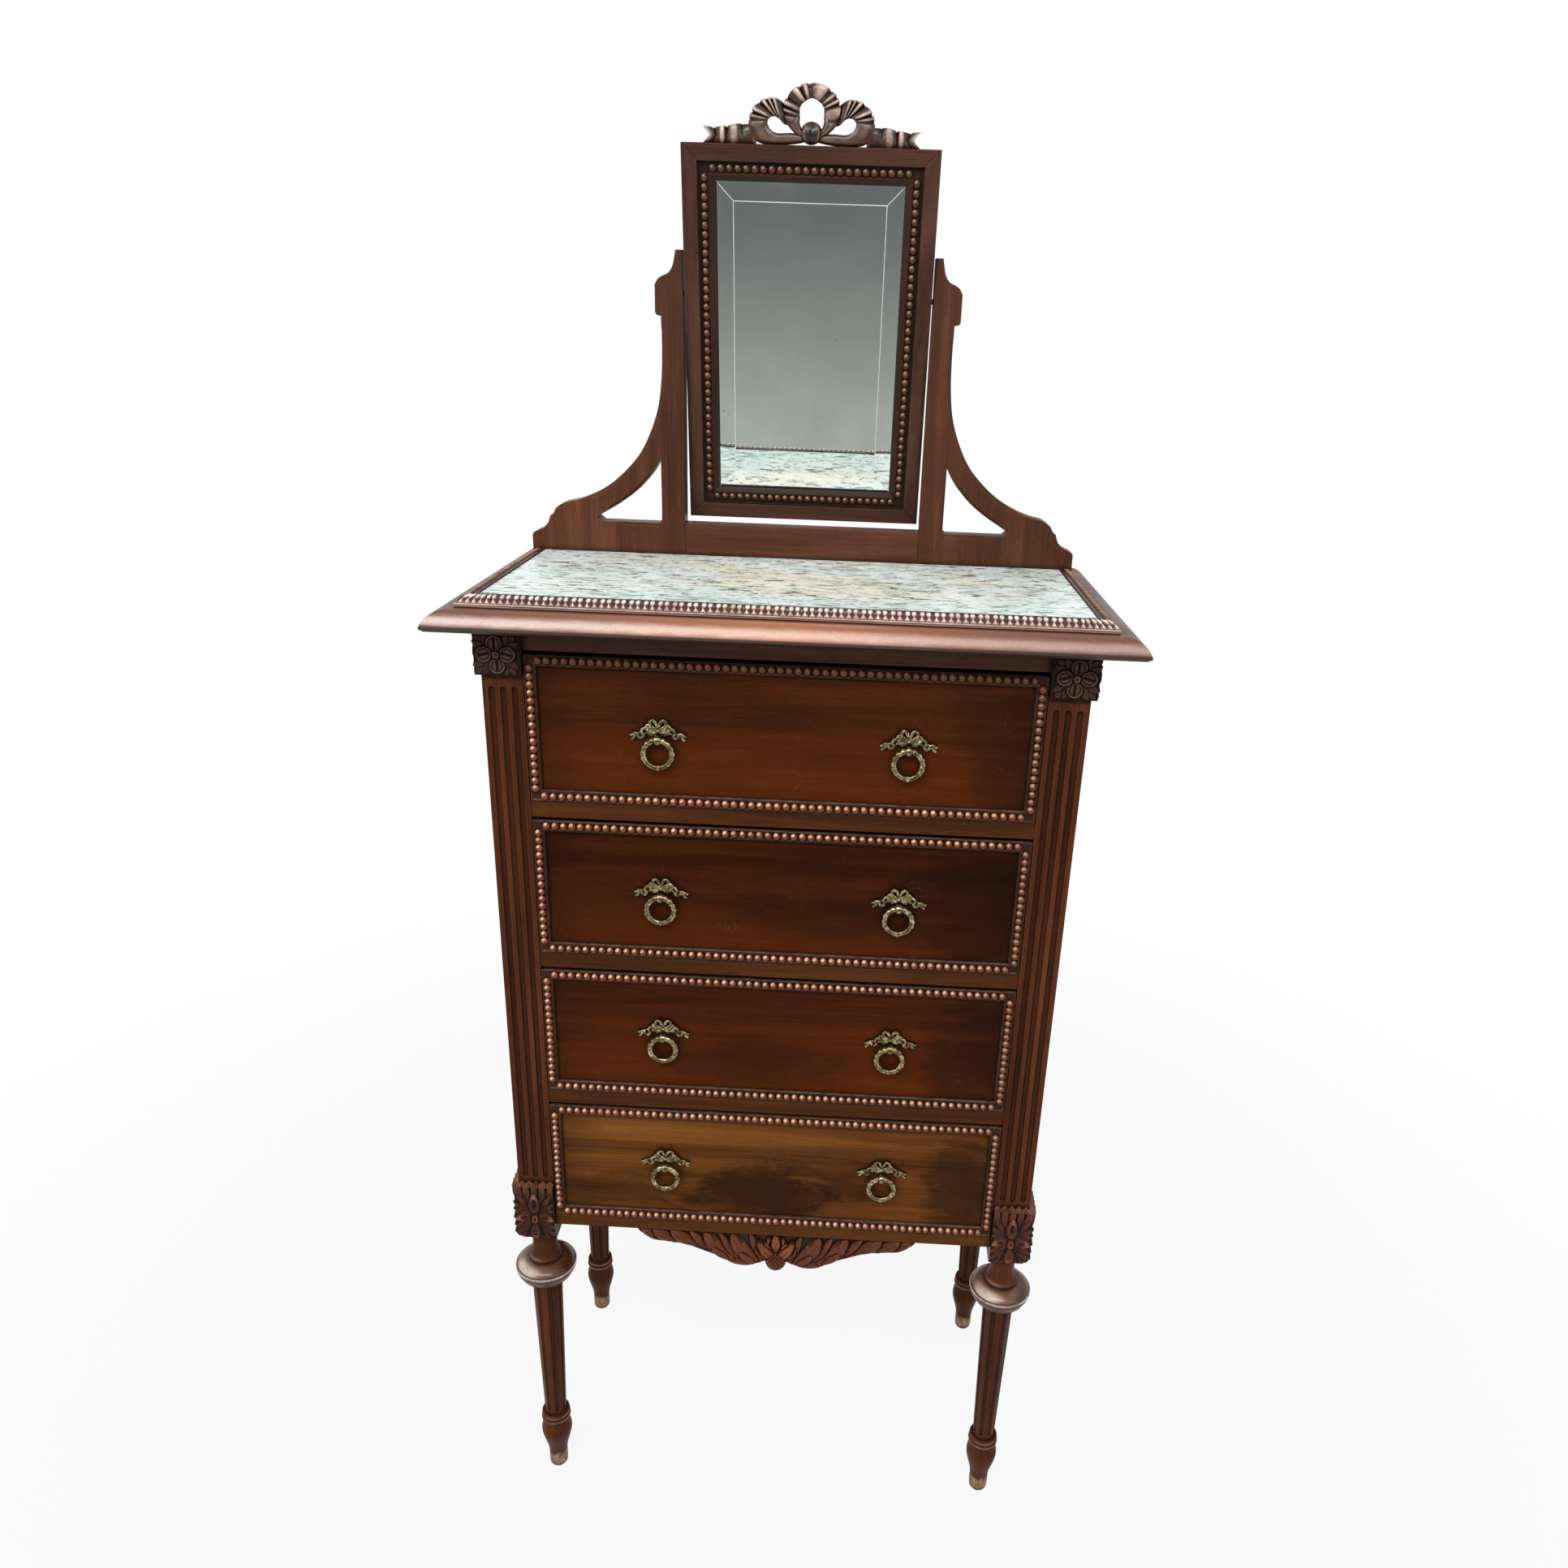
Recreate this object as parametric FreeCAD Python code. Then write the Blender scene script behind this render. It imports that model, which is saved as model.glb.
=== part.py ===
import FreeCAD, Part
import math
import os

V = FreeCAD.Vector

# Dressing table: four-drawer chest on turned legs, marble top, swing mirror.
# Millimetres, +Z up, +X to the right seen from the front, the front faces -Y.
# The origin is on the floor under the middle of the top.

# Driving dimensions: carcass
HALF_W = 320.0
POST = 44.0
FRONT_Y = -153.0
DEPTH = 336.0
BACK_Y = FRONT_Y + DEPTH
POST_IN = HALF_W - POST
POST_FOOT_Z = 418.0
TOP_UNDER_Z = 1211.0
RAIL_SET_BACK = 1.0
RAIL_H = 18.0
RAIL_D = 43.0
OPENING_H = 170.0
BOTTOM_RAIL_Z = (441.0, 457.0)
OPENING_Z = [BOTTOM_RAIL_Z[1] + k * (OPENING_H + RAIL_H) for k in (3, 2, 1, 0)]

# Driving dimensions: carved blocks, flutes and turned leg
BLOCK_PROUD = 5.0
ROSETTE_Z = 1164.0
LOW_BLOCK_TOP_Z = 503.0
FLUTE_Z = (513.0, 1151.0)
FLUTE_R = 3.5
FLUTE_PITCH = 12.4
SHAFT_Z = (101.0, 344.0)
SHAFT_R = (14.4, 19.6)
SHAFT_FLUTES = 8

# Driving dimensions: top
TOP_X = 366.0
TOP_Y = 200.0
TOP_FACE_Z = 1238.0
OVOLO_IN = 23.0
SOFFIT_IN = 37.0
MOULD_IN = 28.0
MARBLE_IN = 48.0
MOULD_TOP_Z = 1249.5
MARBLE_Z = 1248.0

# Driving dimensions: drawers
DRAWER_HALF_W = 275.0
DRAWER_LIFT = 1.0
DRAWER_H = 165.0
FIELD_BACK = 4.0
FRONT_T = 20.0
SIDE_T = 10.0
SIDE_H = 150.0
BOX_LEN = 280.0
BEAD_STRIP_W = 13.0
BEAD_R = 3.9
BEADS_ROW = 57
BEADS_COLUMN = 17

# Driving dimensions: pulls
PULL_X = 134.0
PULL_Z = [1100.0, 913.5, 729.5, 542.5]
RING_R = 15.4
RING_STOCK_R = 3.5
EYE_OUT = 9.0
EYE_R = (4.3, 5.9)

# Driving dimensions: mirror and its stand
STAND_Y = FRONT_Y + 276.0
STAND_T = 26.0
STAND_TOP_Z = 1286.0
UPRIGHT_IN = 143.5
PIVOT_Y = STAND_Y + 10.0
PIVOT_Z = 1546.5
PIN_R = 3.0
MIRROR_TILT = 8.5
MIRROR_HALF_W = 141.5
MIRROR_UP = 153.5
MIRROR_DOWN = 256.5
MIRROR_T = 24.0
SIGHT = 36.0
CREST_T = 12.0

os.makedirs("parts", exist_ok=True)


def box(x0, x1, y0, y1, z0, z1):
    return Part.makeBox(x1 - x0, y1 - y0, z1 - z0, V(x0, y0, z0))


def line(a, b):
    return Part.LineSegment(V(*a), V(*b)).toShape()


def arc(a, m, b):
    return Part.Arc(V(*a), V(*m), V(*b)).toShape()


def spline(points):
    curve = Part.BSplineCurve()
    curve.interpolate([V(*p) for p in points])
    return curve.toShape()


def face_of(edges):
    return Part.Face(Part.Wire(Part.__sortEdges__(edges)))


def polygon_face(points):
    pts = [V(*p) for p in points]
    return Part.Face(Part.makePolygon(pts + [pts[0]]))


def mirrored(shape):
    return shape.mirror(V(0, 0, 0), V(1, 0, 0))


def moved(shape, x, y, z):
    copy = shape.copy()
    copy.translate(V(x, y, z))
    return copy


def save(name, shapes):
    shape = shapes if not isinstance(shapes, list) else Part.makeCompound(shapes)
    shape.exportStep("parts/%s.step" % name)


def save_pair(name, shape):
    """One piece for the right side and its mirror image for the left."""
    save(name + "_right", shape)
    save(name + "_left", mirrored(shape))


# Turned leg, made once on its own axis
def leg_profile():
    """Half outline of the leg from the block down to the floor, as edges in the XZ plane."""
    pts = [("l", (0, POST_FOOT_Z), (16.5, POST_FOOT_Z)),
           ("s", (16.5, POST_FOOT_Z), (15.7, 406), (15.6, 390), (17.0, 380), (18.6, 378)),
           ("s", (18.6, 378), (20.6, 376), (20.4, 373.2), (19.6, 372.2)),
           ("s", (19.6, 372.2), (26.0, 371.2), (33.6, 367.2), (38.0, 360.6), (38.2, 355.0), (36.2, 351.2)),
           ("l", (36.2, 351.2), (34.6, 350.2)),
           ("l", (34.6, 350.2), (34.0, 346.4)),
           ("l", (34.0, 346.4), (SHAFT_R[1], SHAFT_Z[1])),
           ("l", (SHAFT_R[1], SHAFT_Z[1]), (SHAFT_R[0], SHAFT_Z[0])),
           ("s", (SHAFT_R[0], SHAFT_Z[0]), (18.2, 100.0), (19.0, 97.0), (18.0, 93.6)),
           ("s", (18.0, 93.6), (19.6, 91.6), (19.6, 88.6), (17.8, 86.0)),
           ("s", (17.8, 86.0), (18.8, 79.0), (20.6, 69.0), (19.4, 57.0), (15.0, 40.0), (13.0, 30.0), (12.6, 20.0),
            (12.2, 3.0)),
           ("l", (12.2, 3.0), (10.4, 0.0)),
           ("l", (10.4, 0.0), (0, 0)),
           ("l", (0, 0), (0, POST_FOOT_Z))]
    edges = []
    for kind, *run in pts:
        run3 = [(r, 0, z) for r, z in run]
        edges.append(line(*run3) if kind == "l" else spline(run3))
    return edges


def turned_leg():
    leg = face_of(leg_profile()).revolve(V(0, 0, 0), V(0, 0, 1), 360)
    groove_top, groove_low = 3.5, 2.6
    z_top, z_low = 336.0, 109.0
    slope = (SHAFT_R[1] - SHAFT_R[0]) / (SHAFT_Z[1] - SHAFT_Z[0])
    cutters = []
    for k in range(SHAFT_FLUTES):
        ang = math.radians(22.5 + k * 360.0 / SHAFT_FLUTES)
        r_top = SHAFT_R[0] + slope * (z_top - SHAFT_Z[0]) + 0.9
        r_low = SHAFT_R[0] + slope * (z_low - SHAFT_Z[0]) + 0.7
        low = V(r_low * math.cos(ang), r_low * math.sin(ang), z_low)
        top = V(r_top * math.cos(ang), r_top * math.sin(ang), z_top)
        run = top - low
        cutters.append(Part.makeCone(groove_low, groove_top, run.Length, low, run))
        cutters.append(Part.makeSphere(groove_low, low))
        cutters.append(Part.makeSphere(groove_top, top))
    return leg.cut(cutters)


LEG = turned_leg()
LEG_X = HALF_W - POST / 2.0
LEG_FRONT_Y = FRONT_Y + POST / 2.0
LEG_BACK_Y = BACK_Y - POST / 2.0


def flute(p, low, high):
    rod = Part.makeCylinder(FLUTE_R, high - low - 2 * FLUTE_R, V(p[0], p[1], low + FLUTE_R))
    ends = [Part.makeSphere(FLUTE_R, V(p[0], p[1], z)) for z in (low + FLUTE_R, high - FLUTE_R)]
    return [rod] + ends


def front_post():
    """Right front post: fluted square post, two carved blocks, turned leg, all from one length."""
    y0 = FRONT_Y
    post = box(POST_IN, HALF_W, y0, y0 + POST, POST_FOOT_Z, TOP_UNDER_Z)
    top_block = box(POST_IN, HALF_W + BLOCK_PROUD, y0 - BLOCK_PROUD, y0 + POST, ROSETTE_Z, TOP_UNDER_Z)
    low_block = box(POST_IN, HALF_W + BLOCK_PROUD, y0 - BLOCK_PROUD, y0 + POST, POST_FOOT_Z, LOW_BLOCK_TOP_Z)
    rounded = [e for e in low_block.Edges
               if abs(e.BoundBox.ZMax - POST_FOOT_Z) < 0.01
               and (abs(e.BoundBox.YMax - (y0 - BLOCK_PROUD)) < 0.01
                    or abs(e.BoundBox.XMin - (HALF_W + BLOCK_PROUD)) < 0.01)]
    low_block = low_block.makeFillet(12.0, rounded)
    post = post.fuse([top_block, low_block, moved(LEG, LEG_X, LEG_FRONT_Y, 0)])
    cutters = []
    for k in (-1, 0, 1):
        cutters += flute((LEG_X + k * FLUTE_PITCH, y0 - 0.6), *FLUTE_Z)
        cutters += flute((HALF_W + 0.6, y0 + POST / 2.0 + k * FLUTE_PITCH), *FLUTE_Z)
    return post.cut(cutters).removeSplitter()


def rear_post():
    post = box(POST_IN, HALF_W, BACK_Y - POST, BACK_Y, POST_FOOT_Z, TOP_UNDER_Z)
    return post.fuse(moved(LEG, LEG_X, LEG_BACK_Y, 0)).removeSplitter()


save_pair("front_post", front_post())
save_pair("rear_post", rear_post())

# Carcass panels and rails
SIDE_IN = HALF_W - 18.0
PANEL_Y = (FRONT_Y + POST, BACK_Y - POST)
save_pair("side_panel", box(SIDE_IN, SIDE_IN + 12.0, *PANEL_Y, BOTTOM_RAIL_Z[0], TOP_UNDER_Z))
save("back_panel", box(-POST_IN, POST_IN, BACK_Y - 18.0, BACK_Y - 8.0, BOTTOM_RAIL_Z[0], TOP_UNDER_Z))
RAIL_Y = (FRONT_Y + RAIL_SET_BACK, FRONT_Y + RAIL_SET_BACK + RAIL_D)


def rail(z0, z1):
    return box(-POST_IN, POST_IN, *RAIL_Y, z0, z1)


save("top_rail", rail(OPENING_Z[0] + OPENING_H, TOP_UNDER_Z))
for name, z in zip(("upper", "middle", "lower"), OPENING_Z[:3]):
    save("drawer_rail_" + name, rail(z - RAIL_H, z))
save("bottom_rail", rail(*BOTTOM_RAIL_Z))


def runners():
    strips = []
    for z in OPENING_Z:
        low = BOTTOM_RAIL_Z[0] if z == OPENING_Z[-1] else z - RAIL_H
        strip = box(250.0, SIDE_IN, *PANEL_Y, low, z)
        strips += [strip, mirrored(strip)]
    return strips


save("drawer_runners", runners())


# Carved apron under the bottom rail
APRON_X = 5.0
APRON_Y = FRONT_Y + 6.0
APRON_HALF = [(178.0, 441.0), (176.0, 434.0), (166.0, 423.5), (150.0, 417.6), (124.0, 414.6), (100.0, 408.6),
              (82.0, 400.4), (66.0, 392.6), (52.0, 386.4), (36.0, 385.2), (22.0, 389.8), (12.0, 394.6)]


def apron():
    right = [(x + APRON_X, APRON_Y, z) for x, z in APRON_HALF]
    left = [(APRON_X - x, APRON_Y, z) for x, z in APRON_HALF]
    edges = [spline(right), line(right[-1], left[-1]), spline(left), line(right[0], left[0])]
    leaf = face_of(edges).extrude(V(0, 14.0, 0))
    berry = Part.makeSphere(13.4, V(APRON_X, APRON_Y + 8.0, 395.0))
    berry = berry.common(box(-40.0, 40.0, APRON_Y - 20.0, APRON_Y + 14.0, 300.0, 441.0))
    return leaf.fuse(berry).removeSplitter()


save("apron_carving", apron())


# Top: moulded board, carved strips round the marble, marble slab
def top_outline(place):
    """Edge moulding of the board: low bed over the posts, sloping soffit, rounded nose, ovolo."""
    soffit = [place(SOFFIT_IN, TOP_UNDER_Z), place(SOFFIT_IN, 1214.4), place(4.2, 1217.2), place(0.0, 1220.6)]
    edges = [line(a, b) for a, b in zip(soffit, soffit[1:])]
    edges.append(arc(place(0.0, 1220.6), place(8.58, 1233.16), place(OVOLO_IN, TOP_FACE_Z)))
    return edges


def top_board():
    front = top_outline(lambda i, z: (-TOP_X, -TOP_Y + i, z))
    back_low, back_high = (-TOP_X, TOP_Y, TOP_UNDER_Z), (-TOP_X, TOP_Y, TOP_FACE_Z)
    front += [line((-TOP_X, -TOP_Y + OVOLO_IN, TOP_FACE_Z), back_high), line(back_high, back_low),
              line(back_low, (-TOP_X, -TOP_Y + SOFFIT_IN, TOP_UNDER_Z))]
    along_x = face_of(front).extrude(V(2 * TOP_X, 0, 0))
    right = top_outline(lambda i, z: (TOP_X - i, -TOP_Y, z))
    left = top_outline(lambda i, z: (i - TOP_X, -TOP_Y, z))
    across = [line((TOP_X - SOFFIT_IN, -TOP_Y, TOP_UNDER_Z), (SOFFIT_IN - TOP_X, -TOP_Y, TOP_UNDER_Z)),
              line((TOP_X - OVOLO_IN, -TOP_Y, TOP_FACE_Z), (OVOLO_IN - TOP_X, -TOP_Y, TOP_FACE_Z))]
    along_y = face_of(right + left + across).extrude(V(0, 2 * TOP_Y, 0))
    return along_x.common(along_y)


save("top_board", top_board())


def mould_section(place):
    """Carved strip, outside to inside: small fillet, leaf-carved ovolo, flat lip at the marble."""
    i0, i1 = MOULD_IN, MARBLE_IN
    run = [place(i1, MOULD_TOP_Z), place(i1, TOP_FACE_Z), place(i0, TOP_FACE_Z), place(i0, 1242.0),
           place(i0 + 2.6, 1242.0), place(i0 + 3.2, 1243.0)]
    edges = [line(a, b) for a, b in zip(run, run[1:])]
    edges.append(arc(place(i0 + 3.2, 1243.0), place(i0 + 8.55, 1247.77), place(i1 - 4.5, MOULD_TOP_Z)))
    edges.append(line(place(i1 - 4.5, MOULD_TOP_Z), place(i1, MOULD_TOP_Z)))
    return face_of(edges)


def top_moulding():
    xo, xi = TOP_X - MOULD_IN, TOP_X - MARBLE_IN
    yo, yi = MOULD_IN - TOP_Y, MARBLE_IN - TOP_Y
    front = mould_section(lambda i, z: (-xo, -TOP_Y + i, z)).extrude(V(2 * xo, 0, 0))
    mitre = polygon_face([(-xo, yo, 1200), (xo, yo, 1200), (xi, yi, 1200), (-xi, yi, 1200)])
    front = front.common(mitre.extrude(V(0, 0, 100)))
    side = mould_section(lambda i, z: (TOP_X - i, yo, z)).extrude(V(0, STAND_Y - yo, 0))
    mitre = polygon_face([(xo, yo, 1200), (xo, STAND_Y, 1200), (xi, STAND_Y, 1200), (xi, yi, 1200)])
    side = side.common(mitre.extrude(V(0, 0, 100)))
    return [front, side, mirrored(side)]


save("top_moulding", top_moulding())
save("marble_top", box(MARBLE_IN + 0.3 - TOP_X, TOP_X - MARBLE_IN - 0.3, MARBLE_IN + 0.3 - TOP_Y, STAND_Y - 0.3,
                       TOP_FACE_Z, MARBLE_Z))


# Mirror stand
def bracket():
    """Right side of the stand: upright with ear, curved brace and scroll foot sawn from one board."""
    y = STAND_Y
    outer = [(293.0, y, 1305.5), (271.0, y, 1311.0), (247.0, y, 1322.0), (225.0, y, 1337.5), (201.0, y, 1362.5),
             (186.0, y, 1389.0), (175.5, y, 1419.0), (171.0, y, 1449.0), (169.5, y, 1482.0), (169.7, y, 1521.5)]
    ear = [(169.7, y, 1521.5), (174.6, y, 1522.4), (176.4, y, 1525.0), (176.4, y, 1555.0), (173.0, y, 1560.8),
           (168.5, y, 1564.0)]
    foot = [(UPRIGHT_IN, y, TOP_FACE_Z), (333.4, y, TOP_FACE_Z), (333.4, y, 1265.0), (330.6, y, 1269.2)]
    edges = [line(a, b) for a, b in zip(foot, foot[1:])]
    edges.append(spline([foot[-1], (321.0, y, 1273.4), (313.6, y, 1280.4), (310.2, y, 1289.6)]))
    edges.append(line((310.2, y, 1289.6), (306.0, y, 1292.4)))
    edges.append(spline([(306.0, y, 1292.4), (302.0, y, 1299.6), outer[0]]))
    edges.append(spline(outer))
    edges += [line(a, b) for a, b in zip(ear, ear[1:])]
    edges.append(spline([ear[-1], (160.6, y, 1567.8), (155.8, y, 1575.0), (153.4, y, 1585.0), (152.2, y, 1592.0)]))
    edges.append(line((152.2, y, 1592.0), (UPRIGHT_IN, y, 1592.0)))
    edges.append(line((UPRIGHT_IN, y, 1592.0), foot[0]))
    board = face_of(edges).extrude(V(0, STAND_T, 0))
    brace = [(172.2, y, 1364.0), (179.0, y, 1350.6), (188.0, y, 1338.6), (203.0, y, 1322.8), (223.0, y, 1307.6),
             (241.0, y, 1296.8), (252.0, y, 1290.0)]
    hole = [spline(brace), line(brace[-1], (246.0, y, 1285.0)), line((246.0, y, 1285.0), (177.2, y, 1285.0)),
            arc((177.2, y, 1285.0), (173.7, y, 1286.5), (172.2, y, 1290.0)), line((172.2, y, 1290.0), brace[0])]
    board = board.cut(face_of(hole).extrude(V(0, STAND_T, 0)))
    return board.cut(Part.makeCylinder(PIN_R, 13.0, V(UPRIGHT_IN, PIVOT_Y, PIVOT_Z), V(1, 0, 0)))


save_pair("mirror_bracket", bracket())
save("mirror_base_rail", box(-UPRIGHT_IN, UPRIGHT_IN, STAND_Y, STAND_Y + STAND_T, TOP_FACE_Z, STAND_TOP_Z))
pin = Part.makeCylinder(PIN_R, 25.0, V(UPRIGHT_IN - 12.0, PIVOT_Y, PIVOT_Z), V(1, 0, 0))
save("mirror_pivot_pins", [pin, mirrored(pin)])


# Mitred frames with bead strings, used on the drawers and the mirror
def frame_members(x0, x1, z0, z1, y, section):
    """Four mitred members; section is a closed outline of (inset, depth) points."""
    width = max(i for i, d in section)
    deep = max(d for i, d in section)
    shallow = min(d for i, d in section)
    corner = {"lo": (x0, z0), "ro": (x1, z0), "rt": (x1, z1), "lt": (x0, z1)}
    inner = {"lo": (x0 + width, z0 + width), "ro": (x1 - width, z0 + width),
             "rt": (x1 - width, z1 - width), "lt": (x0 + width, z1 - width)}
    sides = [("lo", "ro", lambda i, d: (x0, y + d, z0 + i), V(x1 - x0, 0, 0)),
             ("ro", "rt", lambda i, d: (x1 - i, y + d, z0), V(0, 0, z1 - z0)),
             ("lt", "rt", lambda i, d: (x0, y + d, z1 - i), V(x1 - x0, 0, 0)),
             ("lo", "lt", lambda i, d: (x0 + i, y + d, z0), V(0, 0, z1 - z0))]
    members = []
    for a, b, place, run in sides:
        bar = polygon_face([place(i, d) for i, d in section]).extrude(run)
        around = [corner[a], corner[b], inner[b], inner[a]]
        wedge = polygon_face([(px, y + shallow - 1.0, pz) for px, pz in around])
        members.append(bar.common(wedge.extrude(V(0, deep - shallow + 2.0, 0))))
    return members


def bead_string(steps, pitch, radius, start, along):
    """Half-round string of beads standing out towards the front, between two mitres."""
    neck = radius * 0.45
    reach = math.sqrt(radius ** 2 - neck ** 2)
    first, last = 0.45 * pitch, (steps - 0.45) * pitch
    edges = [line((first, 0, 0), (first, 0, neck))]
    here = first
    for k in range(1, steps):
        x = k * pitch
        edges.append(line((here, 0, neck), (x - reach, 0, neck)))
        edges.append(arc((x - reach, 0, neck), (x, 0, radius), (x + reach, 0, neck)))
        here = x + reach
    edges.append(line((here, 0, neck), (last, 0, neck)))
    edges.append(line((last, 0, neck), (last, 0, 0)))
    edges.append(line((last, 0, 0), (first, 0, 0)))
    string = face_of(edges).revolve(V(0, 0, 0), V(1, 0, 0), 180)
    if along == "z":
        string.rotate(V(0, 0, 0), V(0, 1, 0), -90)
    string.translate(V(*start))
    return string


def beaded_frame(x0, x1, z0, z1, y, line_in, radius, across, up):
    """Bead strings of a rectangle, in the order of frame_members."""
    px = (x1 - x0 - 2 * line_in) / across
    pz = (z1 - z0 - 2 * line_in) / up
    xa, za = x0 + line_in, z0 + line_in
    xb, zb = x1 - line_in, z1 - line_in
    return [bead_string(across, px, radius, (xa, y, za), "x"), bead_string(up, pz, radius, (xb, y, za), "z"),
            bead_string(across, px, radius, (xa, y, zb), "x"), bead_string(up, pz, radius, (xa, y, za), "z")]


# Drawers
def beading(z):
    """Mitred moulding round the drawer front: outer fillet, bead row, inner fillet."""
    y = FRONT_Y
    low = z + DRAWER_LIFT
    w = BEAD_STRIP_W
    section = [(0, 0), (2.0, 0), (2.0, 1.0), (10.0, 1.0), (10.0, 0), (11.6, 0), (w, 1.4), (w, FIELD_BACK),
               (0, FIELD_BACK)]
    strips = frame_members(-DRAWER_HALF_W, DRAWER_HALF_W, low, low + DRAWER_H, y, section)
    beads = beaded_frame(-DRAWER_HALF_W, DRAWER_HALF_W, low, low + DRAWER_H, y + 1.0, 6.0, BEAD_R, BEADS_ROW,
                         BEADS_COLUMN)
    return [strip.fuse(string) for strip, string in zip(strips, beads)]


def drawer_board(z, pull_z):
    low = z + DRAWER_LIFT
    y = FRONT_Y + FIELD_BACK
    board = box(-DRAWER_HALF_W, DRAWER_HALF_W, y, y + FRONT_T, low, low + DRAWER_H)
    holes = [Part.makeCylinder(2.6, FRONT_T, V(x, y, pull_z + 9.0), V(0, 1, 0)) for x in (-PULL_X, PULL_X)]
    return board.cut(holes)


def pull_plate(x, z):
    """Cast bow-shaped plate with its eye and its threaded stud, in one piece."""
    y = FRONT_Y + FIELD_BACK
    t = 3.0

    def disc(cx, cz, rx, rz, hole=0.0):
        pad = Part.makeCylinder(1.0, t, V(0, 0, 0), V(0, -1, 0))
        scale = FreeCAD.Matrix()
        scale.scale(V(rx, 1.0, rz))
        pad = pad.transformGeometry(scale)
        if hole:
            pad = pad.cut(Part.makeCylinder(hole, t, V(0, 0, 0), V(0, -1, 0)))
        return moved(pad, x + cx, y, z + cz)

    pieces = [box(x - 4.6, x + 4.6, y - t, y, z - 6.0, z + 10.0), disc(0, 10.0, 5.2, 5.2)]
    for s in (-1, 1):
        pieces += [disc(s * 5.0, 18.6, 6.0, 5.8, 3.0), disc(s * 11.0, 12.4, 6.4, 4.6)]
        arm = [(s * 6.0, 5.4), (s * 14.0, 4.2), (s * 22.0, 0.4), (s * 31.0, -0.6), (s * 32.0, 4.4), (s * 24.0, 6.6),
               (s * 17.0, 11.0), (s * 8.0, 12.0)]
        pieces.append(polygon_face([(x + px, y, z + pz) for px, pz in arm]).extrude(V(0, -t, 0)))
    eye_y = y - EYE_OUT
    pieces.append(Part.makeCylinder(EYE_R[1], 6.0, V(x - 3.0, eye_y, z), V(1, 0, 0)))
    pieces.append(box(x - 3.0, x + 3.0, eye_y + 4.6, y - t + 0.5, z - 4.0, z + 4.0))
    pieces.append(Part.makeCylinder(2.4, FRONT_T + 8.0, V(x, y - 1.0, z + 9.0), V(0, 1, 0)))
    pieces.append(Part.makeCylinder(5.0, 4.0, V(x, y + FRONT_T + 0.2, z + 9.0), V(0, 1, 0)))
    plate = pieces[0].fuse(pieces[1:])
    return plate.cut(Part.makeCylinder(EYE_R[0], 8.0, V(x - 4.0, eye_y, z), V(1, 0, 0))).removeSplitter()


def pull_ring(x, z):
    eye_y = FRONT_Y + FIELD_BACK - EYE_OUT
    return Part.makeTorus(RING_R, RING_STOCK_R, V(x, eye_y, z - RING_R), V(0, 1, 0))


for number, (z, pull_z) in enumerate(zip(OPENING_Z, PULL_Z), start=1):
    tag = "drawer_%d_" % number
    low = z + DRAWER_LIFT
    y_in = FRONT_Y + FIELD_BACK + FRONT_T
    y_end = y_in + BOX_LEN
    x_out = DRAWER_HALF_W - 1.0
    x_in = x_out - SIDE_T
    save(tag + "front", drawer_board(z, pull_z))
    save(tag + "beading", beading(z))
    side = box(x_in, x_out, y_in, y_end, low, low + SIDE_H)
    save(tag + "sides", [side, mirrored(side)])
    save(tag + "back", box(-x_in, x_in, y_end - SIDE_T, y_end, low + 13.0, low + SIDE_H - 5.0))
    save(tag + "bottom", box(-x_in, x_in, y_in, y_end - SIDE_T, low + 7.0, low + 13.0))
    save(tag + "pull_plates", [pull_plate(-PULL_X, pull_z), pull_plate(PULL_X, pull_z)])
    save(tag + "ring_left", pull_ring(-PULL_X, pull_z))
    save(tag + "ring_right", pull_ring(PULL_X, pull_z))


# Mirror, drawn upright about its pivot and then leaned forward
def leaned(shape):
    copy = shape.copy()
    copy.rotate(V(0, PIVOT_Y, PIVOT_Z), V(1, 0, 0), MIRROR_TILT)
    return copy


M_X = (-MIRROR_HALF_W, MIRROR_HALF_W)
M_Z = (PIVOT_Z - MIRROR_DOWN, PIVOT_Z + MIRROR_UP)
M_FRONT = PIVOT_Y - MIRROR_T / 2.0


def mirror_frame():
    section = [(0, 0), (17.0, 0), (17.0, 6.0), (29.0, 6.0), (29.0, 3.4), (31.0, 3.4), (SIGHT, 5.6), (SIGHT, 9.0),
               (31.0, 9.0), (31.0, MIRROR_T), (0, MIRROR_T)]
    members = frame_members(*M_X, *M_Z, M_FRONT, section)
    hole = Part.makeCylinder(PIN_R + 0.05, 14.0, V(MIRROR_HALF_W - 14.0, PIVOT_Y, PIVOT_Z), V(1, 0, 0))
    return [leaned(m.cut([hole, mirrored(hole)])) for m in members]


def glass():
    edge = 31.4
    x0, x1 = M_X[0] + edge, M_X[1] - edge
    z0, z1 = M_Z[0] + edge, M_Z[1] - edge
    y0 = M_FRONT + 9.2
    plate = box(x0, x1, y0 + 1.6, y0 + 5.0, z0, z1)
    rim, bevel = SIGHT - edge, SIGHT - edge + 20.0
    outer = [(x0 + rim, z0 + rim), (x1 - rim, z0 + rim), (x1 - rim, z1 - rim), (x0 + rim, z1 - rim)]
    inner = [(x0 + bevel, z0 + bevel), (x1 - bevel, z0 + bevel), (x1 - bevel, z1 - bevel), (x0 + bevel, z1 - bevel)]
    wires = []
    for y, pts in ((y0 + 1.6, outer), (y0, inner)):
        ring = [V(px, y, pz) for px, pz in pts]
        wires.append(Part.makePolygon(ring + [ring[0]]))
    return leaned(plate.fuse(Part.makeLoft(wires, True, True)))


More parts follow.
